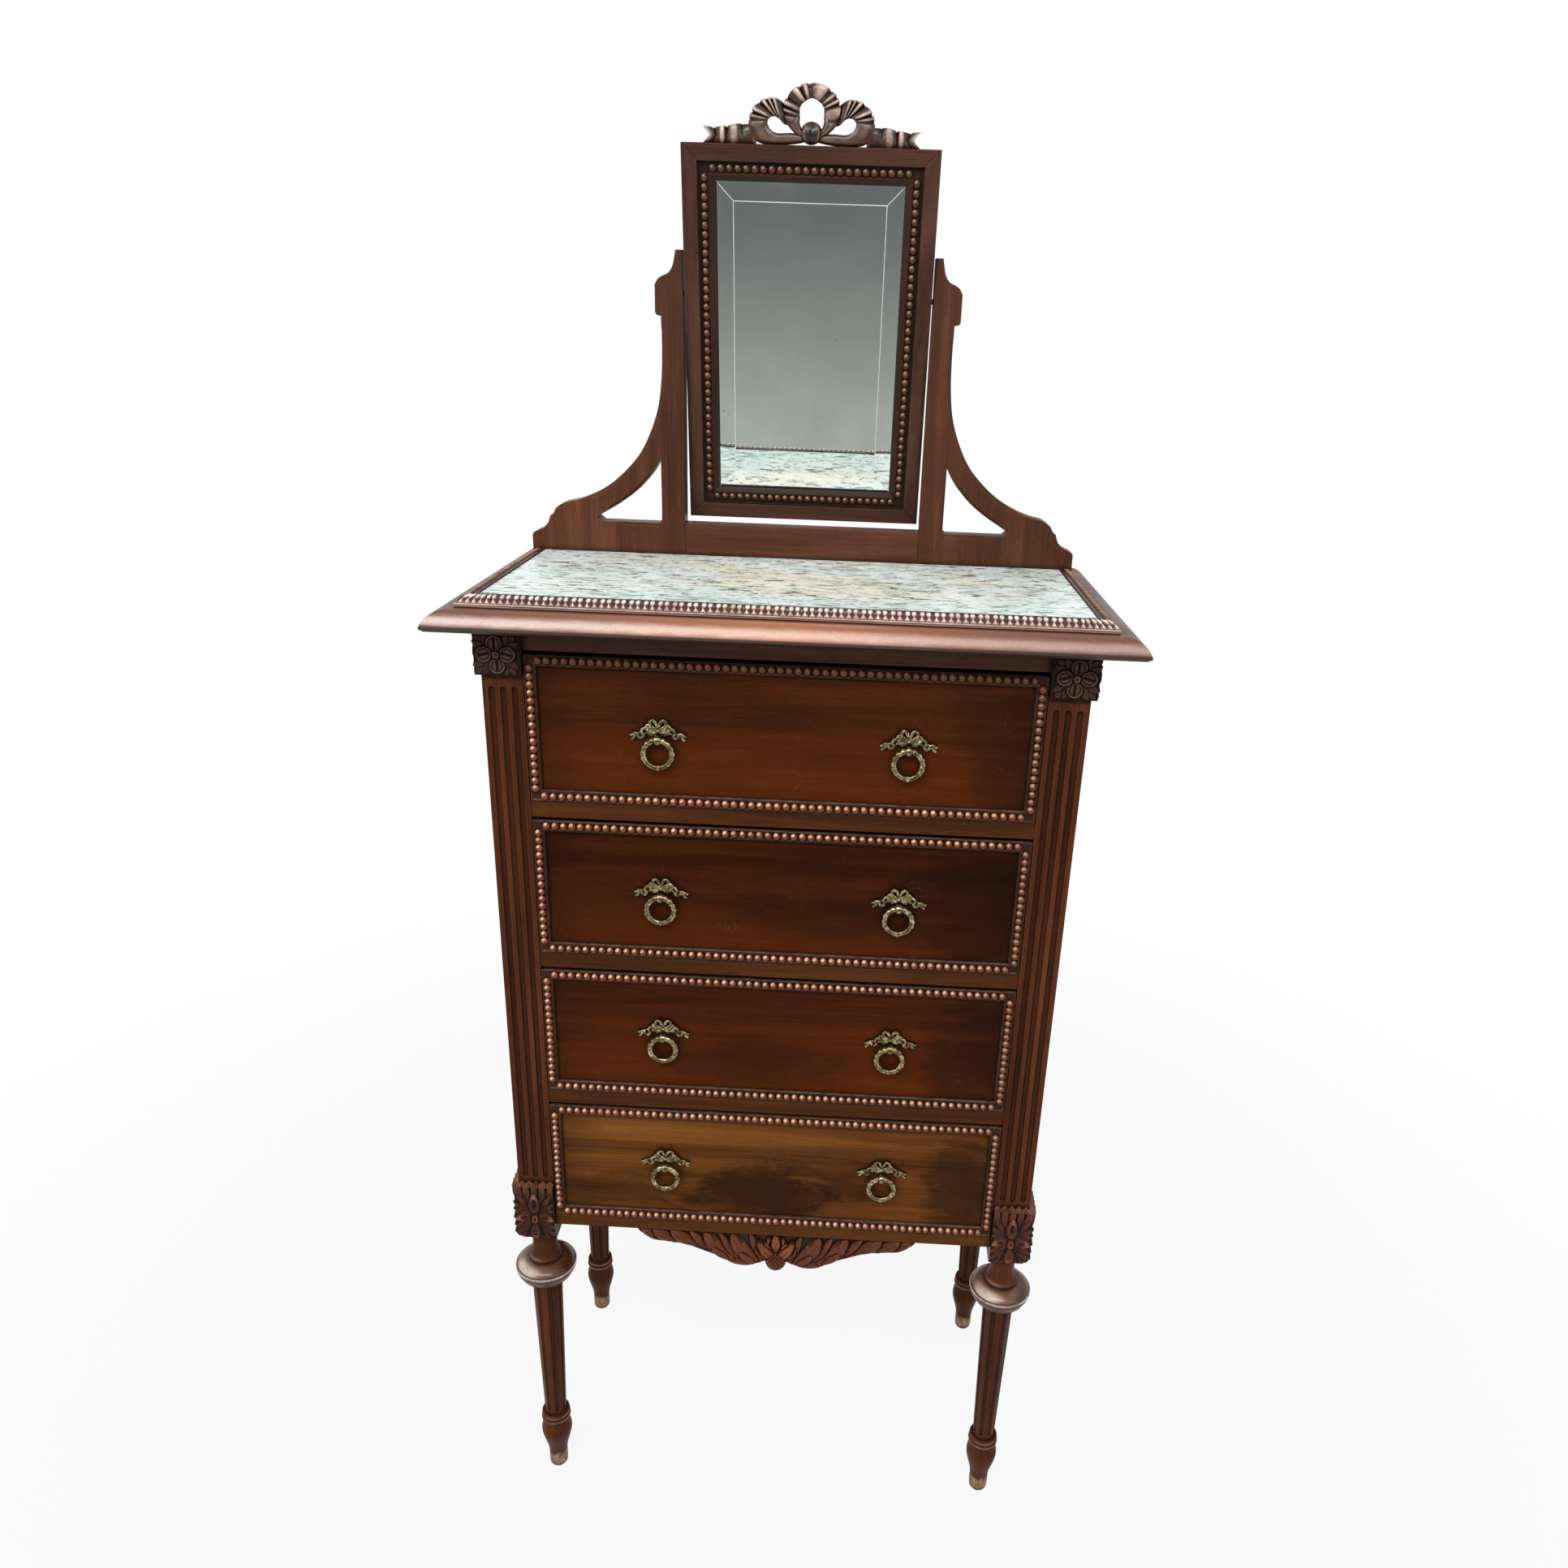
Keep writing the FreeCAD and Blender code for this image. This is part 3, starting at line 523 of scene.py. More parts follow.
def marble():
    """Pale green stone with a close net of short wavy veins."""
    g = Graph("marble")
    warp = g.noise(g.stretch((14.0, 26.0, 26.0)), 1.0, 3.0, 0.5, out="Color")
    bent = g.add("ShaderNodeVectorMath", {0: warp, 1: (0.010, 0.020, 0.0), 2: g.place},
                 operation="MULTIPLY_ADD").outputs[0]

    def streaks(along, across, lo, hi, reach, shift):
        vector = g.stretch((along, across, across), (shift, shift, 0), bent)
        return g.span(g.noise(vector, 1.0, 4.5, 0.62, 0.6), lo, hi, 0.0, reach)

    colour = g.ramp(g.noise(g.stretch((3.0, 7.0, 7.0), (0.4, 0.2, 0.0)), 1.0, 4.0, 0.55, 0.6),
                    [(0.36, (234, 250, 246)), (0.52, (248, 254, 250)), (0.66, (254, 250, 230))])
    for vein, shade in (((28.0, 70.0, 0.48, 0.62, 0.30, 0.0), (186, 211, 196)),
                        ((38.0, 120.0, 0.560, 0.600, 0.75, 3.0), (126, 152, 134)),
                        ((42.0, 150.0, 0.578, 0.610, 0.92, 7.0), (56, 70, 60)),
                        ((70.0, 260.0, 0.60, 0.635, 0.7, 5.0), (100, 120, 104))):
        colour = g.tint(colour, shade, streaks(*vein))
    polish = g.span(g.noise(g.place, 30.0, 4.0), 0.3, 0.7, 0.22, 0.36)
    return g.finish(**{"Base Color": colour, "Roughness": polish, "Normal": g.rounded(),
                       "Specular IOR Level": 0.3})


def brass():
    """Old cast brass: bright on the high places, brown and green in the hollows."""
    g = Graph("brass")
    cloud = g.noise(g.place, 190.0, 5.0, 0.62)
    colour = g.ramp(cloud, [(0.34, (80, 67, 40)), (0.50, (134, 118, 82)), (0.66, (206, 191, 152))])
    colour = g.tint(colour, (36, 31, 17), g.span(g.raised(), 0.05, 0.75, 0.92, 0.0))
    colour = g.tint(colour, (28, 24, 14), g.span(g.hollow(0.003), 0.35, 0.92, 0.92, 0.0))
    height = g.plus(cloud, g.times(g.noise(g.place, 900.0, 3.0), 0.3))
    bump = g.add("ShaderNodeBump", {"Height": height, "Strength": 0.35, "Distance": 0.0006})
    return g.finish(**{"Base Color": colour, "Metallic": 1.0, "Normal": bump.outputs[0],
                       "Roughness": g.span(cloud, 0.3, 0.7, 0.36, 0.20)})


def looking_glass():
    """Silvered plate with a faint haze, a ground line where its bevel starts and specks of lost silver."""
    g = Graph("mirror_glass")
    haze = g.noise(g.place, 14.0, 5.0, 0.6)
    colour = g.ramp(haze, [(0.3, (214, 221, 219)), (0.7, (230, 235, 233))])
    colour = g.tint(colour, (60, 54, 46), g.span(g.noise(g.place, 210.0, 3.0, 0.5), 0.74, 0.80))
    back = g.times(g.less(g.split["Y"], PIVOT_Y * MM), math.sin(MIRROR_LEAN))
    up = g.less(g.times(g.less(g.split["Z"], PIVOT_Z * MM), math.cos(MIRROR_LEAN)), back)
    over, aside = past_edges(g, up, MIRROR_MID - PIVOT_Z, MIRROR_HALF_H - BEVEL_IN, MIRROR_X - BEVEL_IN)
    outside = g.most(over, aside)
    corner = g.span(g.apart(over, aside), 0.0007, 0.0002)
    line = g.most(g.times(corner, g.span(outside, -0.0005, 0.0005)), g.span(g.size(outside), 0.0006, 0.0002))
    return g.finish(**{"Base Color": g.tint(colour, (232, 236, 232), line, 0.4),
                       "Metallic": g.span(line, 0.0, 1.0, 1.0, 0.7),
                       "Roughness": g.plus(g.span(haze, 0.4, 0.75, 0.015, 0.05), g.times(line, 0.4))})


# Woods: dark, middle and light tone, way of the grain, place in the figure and what else differs
DEEP_HOLLOWS = (0.64, 0.98)
post_wood = wood("wood_post", (50, 25, 14), (82, 43, 24), (106, 60, 35), "z", stain=0.3, hollows=DEEP_HOLLOWS,
                 paint=leg_wear_and_sheen)
rear_wood = wood("wood_rear", (44, 22, 13), (72, 36, 20), (92, 48, 28), "z", 0.7, hollows=DEEP_HOLLOWS,
                 paint=leg_wear_and_sheen)
side_wood = wood("wood_side", (44, 22, 13), (70, 36, 20), (92, 50, 28), "z", 1.3)
low_rail_wood = wood("wood_rail_low", (58, 31, 13), (90, 52, 22), (114, 69, 31), "x", 2.9)
rail_wood = wood("wood_rail", (46, 24, 12), (74, 40, 19), (98, 56, 26), "x", 2.1)
shaded_rail_wood = wood("wood_rail_shaded", (54, 35, 28), (78, 52, 42), (98, 67, 54), "x", 2.5)
# Rosettes: a darker copy of the carving wood, as painted shade under the overhang of the top
shaded_rosette_wood = wood("wood_rosette_shaded", (36, 23, 18), (57, 37, 30), (76, 51, 42), "z", 0.2, gloss=0.1, wear_and_glint=0.6,
                    wear_and_glint_tone=(128, 98, 84), carved=True, grime_and_shade=0.9)
flower_wood = wood("wood_lower_flower", (40, 16, 8), (66, 29, 15), (92, 44, 24), "z", 0.4, gloss=0.1,
                   coat=0.08, polish=0.12, wear_and_glint=0.5, wear_and_glint_tone=(186, 128, 98), carved=True, grime_and_shade=0.92)
apron_wood = wood("wood_apron", (58, 25, 9), (90, 41, 15), (116, 57, 25), "x", 0.9, gloss=0.15, coat=0.12,
                  polish=0.12, wear_and_glint=0.55, wear_and_glint_tone=(160, 96, 60), carved=True)
crest_wood = wood("wood_crest", (36, 20, 12), (64, 38, 24), (90, 56, 37), "x", 1.9, gloss=0.3, coat=0.25,
                  polish=0.10, rough=0.28, wear_and_glint=0.8, wear_and_glint_tone=(222, 198, 184), carved=True, grime_and_shade=0.98)
# Rim of the bulbs: its ridge painted bright as a highlight
rim_wood = wood("wood_rim", (58, 34, 25), (88, 56, 42), (112, 74, 56), "z", 2.7, gloss=0.3, coat=0.5,
                wear_and_glint=0.9, wear_and_glint_tone=(206, 184, 168), carved=True)
top_wood = wood("wood_top", (50, 28, 19), (78, 46, 32), (102, 63, 45), "x", 3.1, gloss=0.2, coat=0.3,
                polish=0.42, rough=0.46, wear_and_glint=0.4, paint=top_tone_and_sheen)
# Top carving: a lit copy for the front with near-white painted highlights, and a darker shaded copy for the
# sides
lit_leaf_wood = wood("wood_top_carving", (108, 72, 58), (152, 109, 91), (184, 141, 122), "x", 3.7, gloss=0.3,
                 coat=0.2, wear_and_glint=0.95, wear_and_glint_tone=(248, 233, 226), carved=True, grime_and_shade=0.92)
shaded_side_leaf_wood = wood("wood_top_carving_side", (50, 30, 23), (76, 48, 38), (98, 66, 53), "x", 3.9, gloss=0.15,
                      wear_and_glint=0.9, wear_and_glint_tone=(172, 134, 114), carved=True, grime_and_shade=0.9)
stand_wood = wood("wood_stand", (50, 27, 17), (79, 46, 31), (108, 66, 44), "z", 4.3, gloss=0.1, wear_and_glint=0.6)
base_wood = wood("wood_stand_base", (46, 25, 16), (79, 47, 32), (110, 69, 47), "x", 4.9, gloss=0.1, wear_and_glint=0.6,
                 paint=joint_lines)
frame_wood = wood("wood_mirror_frame", (48, 29, 23), (72, 46, 38), (92, 62, 51), "mitre", 5.3, gloss=0.12,
                  hollows=(0.60, 0.98), grime_and_shade=0.85, paint=sight_shade)
strip_wood = wood("wood_bead_strip", (40, 21, 13), (60, 33, 21), (84, 50, 34), "x", 5.6, gloss=0.1, wear_and_glint=0.5,
                  wear_and_glint_tone=(160, 118, 96), grime_and_shade=0.7, paint=ledge_dust_and_sheen)
bead_wood = wood("wood_bead", (86, 42, 19), (118, 60, 28), (140, 76, 39), "x", 5.9, gloss=0.2, coat=0.2,
                 polish=0.10, rough=0.30, carved=True, grime_and_shade=0.5, stain=0.25, paint=bead_highlights_and_shade)
frame_bead_wood = wood("wood_bead_frame", (56, 30, 18), (84, 48, 31), (106, 64, 44), "x", 6.1, gloss=0.2,
                       coat=0.15, polish=0.10, rough=0.30, carved=True, grime_and_shade=0.6, stain=0.25,
                       paint=mirror_bead_highlights)
inner_wood, inner_side_wood = (
    wood(name, (120, 88, 56), (158, 122, 82), (182, 148, 106), along, shift, rough=0.62, wear_and_glint=0.2, grime_and_shade=0.6)
    for name, along, shift in (("wood_inner", "x", 6.4), ("wood_inner_side", "y", 6.8)))
# Drawer fronts: three tones, warmth below, tone of the stains, and the stains
DRAWER_TONES = [
    ((40, 17, 7), (63, 29, 9), (86, 42, 13), 0.30, (34, 16, 9),
     [(240, 80, 60, 90, 0.5), (-60, 120, 110, 30, 0.3)]),
    ((32, 13, 4), (50, 20, 5), (72, 31, 8), 0.30, (24, 11, 6),
     [(230, 80, 90, 100, 0.6), (40, 60, 120, 34, 0.4)]),
    ((43, 17, 5), (66, 28, 6), (93, 42, 11), 0.35, (28, 13, 7),
     [(230, 70, 70, 90, 0.6), (-30, 50, 120, 34, 0.4)]),
    ((62, 33, 13), (98, 57, 22), (132, 82, 34), 0.05, (36, 19, 9),
     [(-20, 46, 110, 48, 0.85), (232, 60, 50, 80, 0.7), (90, 66, 50, 24, 0.5), (-190, 40, 70, 24, 0.4)]),
]
stone = marble()
metal = brass()
glass = looking_glass()

# The solids that stay take their new materials
finishes = {"top_board": top_wood, "marble_top": stone, "mirror_base_rail": base_wood,
            "mirror_frame": frame_wood, "mirror_glass": glass, "mirror_back_board": inner_wood,
            "back_panel": inner_wood, "drawer_runners": inner_side_wood, "mirror_pivot_pins": metal,
            "top_rail": shaded_rail_wood, "bottom_rail": low_rail_wood}
for side, _ in SIDES:
    finishes["front_post_" + side] = post_wood
    finishes["rear_post_" + side] = rear_wood
    finishes["side_panel_" + side] = side_wood
for level in ("upper", "middle", "lower"):
    finishes["drawer_rail_" + level] = rail_wood
for k, drawer in enumerate(DRAWERS):
    *tones, warm, cool, patches = DRAWER_TONES[k]
    finishes[drawer + "_front"] = wood("wood_" + drawer, *tones, "x", 7.0 + 1.3 * k, gloss=0.04, rough=0.34,
                                       stain=0.35, paint=drawer_patina(DRAWER_LOW[k], warm, cool, patches))
    finishes[drawer + "_back"] = inner_wood
    finishes[drawer + "_bottom"] = inner_wood
    finishes[drawer + "_sides"] = inner_side_wood
for name, material in finishes.items():
    for held in nodes[name].material_slots:
        held.material = material


# Carving: leaves, petals and buttons laid one over the other on a grid of heights
def nearest(u, v, points, steps):
    """Distance from each place of the grid to a smooth line, and how far along the line that is."""
    line = np.array(smooth_line(points, steps))
    gap = np.hypot(u[..., None] - line[:, 0], v[..., None] - line[:, 1])
    return gap.min(axis=-1), gap.argmin(axis=-1) / (len(line) - 1)


def lay_leaf(field, u, v, points, width, height, vein=0.3, left=0.3):
    """One leaf along a bent line from root to tip; of what lies round its edge only a part is left."""
    gap, along = nearest(u, v, points, 14)
    breadth = width * np.sin(np.pi * np.clip(0.10 + 0.88 * along, 0, 1)) ** 0.7
    across = gap / np.maximum(breadth, 0.05)
    body = (0.62 + 0.38 * along) * np.sqrt(np.clip(1 - across ** 3, 0, None))
    body = body - vein * np.exp(-(across / 0.2) ** 2)
    cut = field * (left + (1 - left) * np.clip((across - 1) / 0.35, 0, 1))
    return np.where(across < 1, height * np.maximum(body, 0.1), cut)


def lay_petal(field, u, v, cu, cv, radius, height, axis):
    """Round petal: a raised rim and two lobes beside a split that points to the middle of the flower."""
    du, dv = (u - cu) / radius, (v - cv) / radius
    d = np.hypot(du, dv)
    across = np.abs(du * math.sin(axis) - dv * math.cos(axis))
    lobes = 0.16 * np.exp(-((across - 0.32) / 0.20) ** 2) - 0.55 * np.exp(-(across / 0.11) ** 2)
    rim = 0.38 * np.exp(-((d - 0.85) / 0.10) ** 2) - 0.24 * np.exp(-((d - 0.64) / 0.08) ** 2)
    body = 0.62 + lobes * np.clip((0.74 - d) / 0.12, 0, 1) + rim
    cut = field * (0.12 + 0.88 * np.clip((d - 1) / 0.16, 0, 1))
    return np.where(d < 1, height * np.clip(body, 0.08, None) * np.sqrt(np.clip(1 - d ** 12, 0, 1)), cut)


def lay_button(field, u, v, cu, cv, ru, rv, height):
    """Small rounded button with a drilled eye, in a sunk ring."""
    e = ((np.abs(u - cu) / ru) ** 3 + (np.abs(v - cv) / rv) ** 3) ** (1 / 3)
    body = np.sqrt(np.clip(1 - e ** 4, 0, 1)) - 0.65 * np.exp(-(e / 0.40) ** 2)
    return np.where(e < 1, height * np.maximum(body, 0.1), field * np.clip((e - 0.9) / 0.5, 0.1, 1))


def cut_line(field, u, v, points, width, depth):
    """A V-cut along a line."""
    gap, along = nearest(u, v, points, 10)
    return np.maximum(field - depth * np.exp(-(gap / width) ** 2), 0.1)


# Rosette: corner leaves are (angle, reach, width), petals are (across, up, way of the split)
ROSETTE_LEAVES = ((0.81, 30.0, 5.6), (0.56, 27.5, 5.0), (1.06, 26.5, 5.0))
ROSETTE_PETALS = ((1.0, 12.4, 1.60), (-1.2, -11.8, 1.50), (12.5, 0.4, -0.25), (-12.3, 0.8, 0.30))


def rosette_heights(u, v):
    """Flower of four round petals with leaf tips in each corner."""
    cu, cv = BLOCK_W / 2 + 1.0, 22.6
    field = np.full(u.shape, 0.5)
    for su in (-1, 1):
        for sv in (-1, 1):
            for angle, reach, width in ROSETTE_LEAVES:
                way = (su * math.cos(angle), sv * math.sin(angle))
                points = [(cu + way[0] * r, cv + way[1] * r * 0.92) for r in (9.0, 0.6 * reach, reach)]
                field = lay_leaf(field, u, v, points, width, 2.5)
    for du, dv, axis in ROSETTE_PETALS:
        field = lay_petal(field, u, v, cu + du, cv + dv, 9.0, 3.4, axis)
    return lay_button(field, u, v, cu, cv, 4.0, 4.2, 3.4)


# Lower block: lines of one side are (from the middle, up), hollows are (across, up, half sizes, floor)
LOW_TEETH = 5
LOW_FLOWER_TIPS = 5.0
LOW_MIDDLE = 35.0
SUNK = -BLOCK_PROUD - 0.3
LOW_LEAVES = [([(4, 43), (12, 56), (21, 73)], 4.6), ([(6, 41), (15, 50), (24, 60)], 4.4),
              ([(4, 25), (10, 13), (17, 3)], 4.6), ([(6, 28), (14, 20), (24, 12)], 4.6),
              ([(7, 31), (15, 27), (24, 23)], 4.8), ([(8, 41), (16, 45), (24, 49)], 4.6)]
LOW_CUTS = [[(3, 42), (7, 49), (10, 60)], [(3, 28), (7, 19), (13, 5)]]
LOW_CURL = [(4.5, LOW_MIDDLE + 0.5), (13.0, LOW_MIDDLE + 3.0), (23.0, LOW_MIDDLE - 1.0)]
LOW_HOLLOWS = [(0, 23.0, 4.6, 9.5, 0.50), (0, -19.0, 4.2, 7.5, 0.50), (13.0, 2.0, 5.6, 3.8, 0.25),
               (-13.0, 2.0, 5.6, 3.8, 0.25)]


def low_block_heights(u, v):
    """Tall flower: crown of leaf tips, a pod, two curled side leaves, a button and a fan below."""
    cu, cv = BLOCK_W / 2, LOW_MIDDLE
    field = np.full(u.shape, 0.6)

    def both(points):
        return [[(cu + s * a, b) for a, b in points] for s in (-1, 1)]

    for k in range(LOW_TEETH):
        x = (k + 0.5) * BLOCK_W / LOW_TEETH
        root = (cu + (x - cu) * 0.55, 58.0)
        field = lay_leaf(field, u, v, [root, (x - 0.6, 74.0), (x, 96.0)], 5.4, 3.2, vein=0.2)
    for s in (0, 1):
        for points, width in LOW_LEAVES:
            field = lay_leaf(field, u, v, both(points)[s], width, 3.0)
    for points in both([(1, 26), (5, 13), (8, 3)]):
        field = lay_leaf(field, u, v, points, 4.4, 2.8)
    field = lay_leaf(field, u, v, [(cu, 30), (cu, 17), (cu, 3)], 7.4, 3.4, vein=0.0)
    field = lay_leaf(field, u, v, [(cu, 41), (cu, 56), (cu, 75)], 7.6, 3.5, vein=0.0)
    for points in both(LOW_CURL):
        field = lay_leaf(field, u, v, points, 8.2, 3.5, vein=0.0)
    for du, dv, wide, tall, floor in LOW_HOLLOWS:
        pod = np.hypot((u - cu - du) / wide, (v - cv - dv) / tall)
        field = np.where(pod < 1, field * (floor + (1 - floor) * pod ** 2), field)
    field = cut_line(field, u, v, [(cu, 53), (cu, 58), (cu, 64)], 1.3, 2.6)
    for s in (0, 1):
        for points in LOW_CUTS:
            field = cut_line(field, u, v, both(points)[s], 1.1, 2.4)
    field = lay_button(field, u, v, cu, cv, 4.6, 6.6, 3.7)
    tooth = 1 - np.abs((u * LOW_TEETH / BLOCK_W) % 1.0 * 2 - 1)
    edge = LOW_BLOCK_H - 0.6 + LOW_FLOWER_TIPS * tooth
    crown = np.clip(1 - (edge - v) / 2.6, 0, 1)
    field = np.maximum(field, 3.4 * crown ** 0.7)
    return np.where(v > edge, SUNK, field), crown


def low_block_in(v):
    """How far the lower block draws back at its rounded foot, and its leaf tips at the corner above it."""
    rest = max(LOW_BLOCK_ROUND - v, 0.0)
    back = LOW_BLOCK_ROUND - math.sqrt(LOW_BLOCK_ROUND ** 2 - rest ** 2)
    return back, BLOCK_PROUD if v > LOW_BLOCK_H else 0.0


def block_carving(name, sign, low, vs, heights, material, crown=0.0, foot=-0.5,
                  drawn_in=lambda v: (0.0, 0.0)):
    """The same carving on the front and the outer face of a block."""
    def front(a, b, h):
        back, corner = drawn_in(b)
        wide = BLOCK_W - back - corner
        return sign * (POST_IN + a * wide / BLOCK_W), BLOCK_Y + back - h, low + b

    def outside(a, b, h):
        back, corner = drawn_in(b)
        wide = BLOCK_W - back - corner
        return sign * (BLOCK_X - back + h), BLOCK_Y + back + corner + a * wide / BLOCK_W, low + b

    shape = Shape()
    for face in (front, outside):
        shape.relief(face, BLOCK_US, vs, heights, crown, foot)
    piece(name, shape, "carcass", material)


BLOCK_US = np.linspace(0.2, BLOCK_W - 0.2, 96)
ROSETTE_VS = np.linspace(0.2, 46.6, 92)
LOW_BLOCK_VS = np.linspace(0.4, LOW_BLOCK_H + LOW_FLOWER_TIPS, 176)
for side, sign in SIDES:
    rosette = rosette_heights(*np.meshgrid(BLOCK_US, ROSETTE_VS, indexing="ij"))
    block_carving("rosette_" + side, sign, ROSETTE_LOW, ROSETTE_VS, rosette, shaded_rosette_wood)
    flower, tips = low_block_heights(*np.meshgrid(BLOCK_US, LOW_BLOCK_VS, indexing="ij"))
    block_carving("lower_flower_" + side, sign, LOW_BLOCK_LOW, LOW_BLOCK_VS, flower, flower_wood, tips, SUNK,
                  low_block_in)

# Leg bulbs: the small raised rim that runs round each one; places are (radius, height, raised); the raised
# values paint a highlight along the rim and shade at its edges
LEG_AXES = [(x, y) for x in (-298.0, 298.0) for y in (-131.0, 161.0)]
BULB_RIM = [(36.0, 363.6, 0.1), (37.6, 363.0, 0.2), (38.6, 362.2, 1.0), (39.3, 361.2, 1.0),
            (39.3, 360.0, 0.6), (38.6, 359.0, 0.3), (36.0, 358.4, 0.1)]
shape = Shape()
for x, y in LEG_AXES:
    shape.skin([[(x + r * math.cos(t), y + r * math.sin(t), z, high) for r, z, high in BULB_RIM]
                for t in turns(72)], "ring")
piece("leg_rims", shape, "carcass", rim_wood)

# Apron: leaf sprays either side of a berry; places are (from the middle, below the rail)
APRON_EDGE = [(0.0, 394.6), (12.0, 394.6), (22.0, 389.8), (36.0, 385.2), (52.0, 386.4), (66.0, 392.6),
              (82.0, 400.4), (100.0, 408.6), (124.0, 414.6), (150.0, 417.6), (166.0, 423.5), (176.0, 434.0),
              (178.0, 440.6)]
APRON_LEAVES = [([(152, 15), (164, 9), (172, 2)], 6.4), ([(130, 20), (146, 13), (157, 3)], 8.4),
                ([(104, 25), (122, 15), (134, 3)], 9.6), ([(84, 32), (98, 18), (110, 2)], 6.4),
                ([(57, 45), (77, 27), (91, 4)], 11.4), ([(62, 46), (73, 38), (82, 27)], 5.8),
                ([(50, 42), (61, 25), (72, 2)], 5.8), ([(27, 46), (45, 29), (56, 4)], 11.4),
                ([(28, 50), (38, 44), (47, 33)], 5.8), ([(18, 42), (26, 24), (33, 2)], 5.8)]
APRON_EYES = [[(42, 19), (45, 13), (47, 9)], [(76, 18), (79, 13), (81, 9)]]
APRON_CLUSTER = [([(0, 32), (-5, 19), (-10, 8)], 6.0), ([(0, 32), (5, 19), (10, 8)], 6.0),
                 ([(0, 34), (0, 18), (0, 2)], 7.4)]
for sign in (-1, 1):
    APRON_CLUSTER += [([(sign * 3, 40), (sign * 9, 29), (sign * 13, 15)], 5.6),
                      ([(sign * 6, 42), (sign * 18, 35), (sign * 26, 23)], 5.6),
                      ([(sign * 3, 41), (sign * 13, 31), (sign * 23, 14)], 7.4)]
BERRY_SCALES = 6.6


def berry_scales(polar, turn):
    x, z = polar * math.cos(turn), polar * math.sin(turn)
    one, other = math.sin(BERRY_SCALES * (x + z)), math.sin(BERRY_SCALES * (x - z))
    return 0.88 + 0.15 * (abs(one) * abs(other)) ** 0.5


def apron():
    us = np.linspace(-APRON_HALF_W + 0.2, APRON_HALF_W - 0.2, 640)
    ts = np.linspace(0.0, 1.0, 76)
    edge = np.array(smooth_line(APRON_EDGE, 10))
    low = np.interp(np.abs(us), edge[:, 0], edge[:, 1])
    u = np.repeat(us[:, None], len(ts), axis=1)
    z = low[:, None] + (APRON_TOP_Z - low[:, None]) * ts[None, :]
    drop = APRON_TOP_Z - z
    above = z - low[:, None]
    field = 1.2 + 4.4 * np.exp(-(above / 6.0) ** 2)
    for points, width in APRON_LEAVES:
        field = lay_leaf(field, np.abs(u), drop, points, width, 7.2, vein=0.14, left=0.4)
    for points in APRON_EYES:
        field = cut_line(field, np.abs(u), drop, points, 2.2, 3.0)
    for points, width in APRON_CLUSTER:
        field = lay_leaf(field, u, drop, points, width, 9.6, vein=0.16, left=0.45)
    field *= 0.30 + 0.70 * np.minimum(1.0, above / 2.5)
    rows = []
    back = APRON_Y + 14.0
    for i, x in enumerate(APRON_X + us):
        front = [(x, APRON_Y + 3.0 - h, up, min(h / 8.0, 1.0)) for h, up in zip(field[i], z[i])]
        rows.append(front + [(x, back, z[i, -1]), (x, back, z[i, 0])])
    shape = Shape()
    shape.skin(rows)
    shape.ball((APRON_X, APRON_Y + 4.0, 395.0), (13.8, 14.2, 13.6), 120, 90, berry_scales)
    piece("apron_leaves", shape, "carcass", apron_wood, ["apron_carving"], sharp=60.0)


apron()

# Carved strips round the marble; the lip of their section is as bright as each strip says, and the front's
# dark lip is a painted shadow line next to the stone
LEAF_PAIR = 14.76
LEAF_DEPTH = 1.5
LIP_Z = 1248.5
STRIP_INSET = 28.0
STRIP_FAN = 40.0
# A raised value of 0 in a groove of the foot paints a dark shadow line under a fillet
FOOT_SECTION = [(28.8, 1238.0, 0.0), (28.8, 1238.9, 0.0), (28.0, 1239.1, 0.55), (28.0, 1240.2, 0.6),
                (28.9, 1240.4, 0.0), (28.9, 1240.8, 0.0), (28.3, 1241.0, 0.7), (28.5, 1242.0, 0.85),
                (29.9, 1242.1, 0.8), (30.6, 1241.9, 0.0)]
LIP_SECTION = [(45.4, 1249.3), (46.0, 1249.5), (47.4, 1249.5), (48.0, 1249.0), (48.0, 1238.0)]
COVE_STEPS = 22
COVE_MIDDLE = (44.6, 1242.4)
COVE_REACH = (13.6, 7.1)
COVE_ARC = (8.0, 78.0)
LOBE_PLACE = (3.2, 0.69)
LOBE_HALF = (3.0, 0.31)
LOBE_RISE = 2.6
DART_TOP = 0.46
DART_HALF = 3.5
DART_RISE = 2.2
BRIGHT_LIFT = 2.2


def leaf_lift(along, w):
    """Pairs of upright lobes with a small dart below each; w runs from 0 at the foot to 1 at the stone."""
    a = along % LEAF_PAIR - LEAF_PAIR / 2
    lift = 0.0
    for side in (-1, 1):
        e = math.hypot((a - side * LOBE_PLACE[0]) / LOBE_HALF[0], (w - LOBE_PLACE[1]) / LOBE_HALF[1])
        if e < 1:
            lift = max(lift, LOBE_RISE * math.sqrt(1 - e * e))
        reach = DART_HALF * max(DART_TOP - w, 0.0) / DART_TOP
        off = abs(a - side * 3.7 - 1.2 * (0.2 - w))
        if off < reach:
            lift = max(lift, DART_RISE * (1 - off / reach) ** 0.6)
    return lift


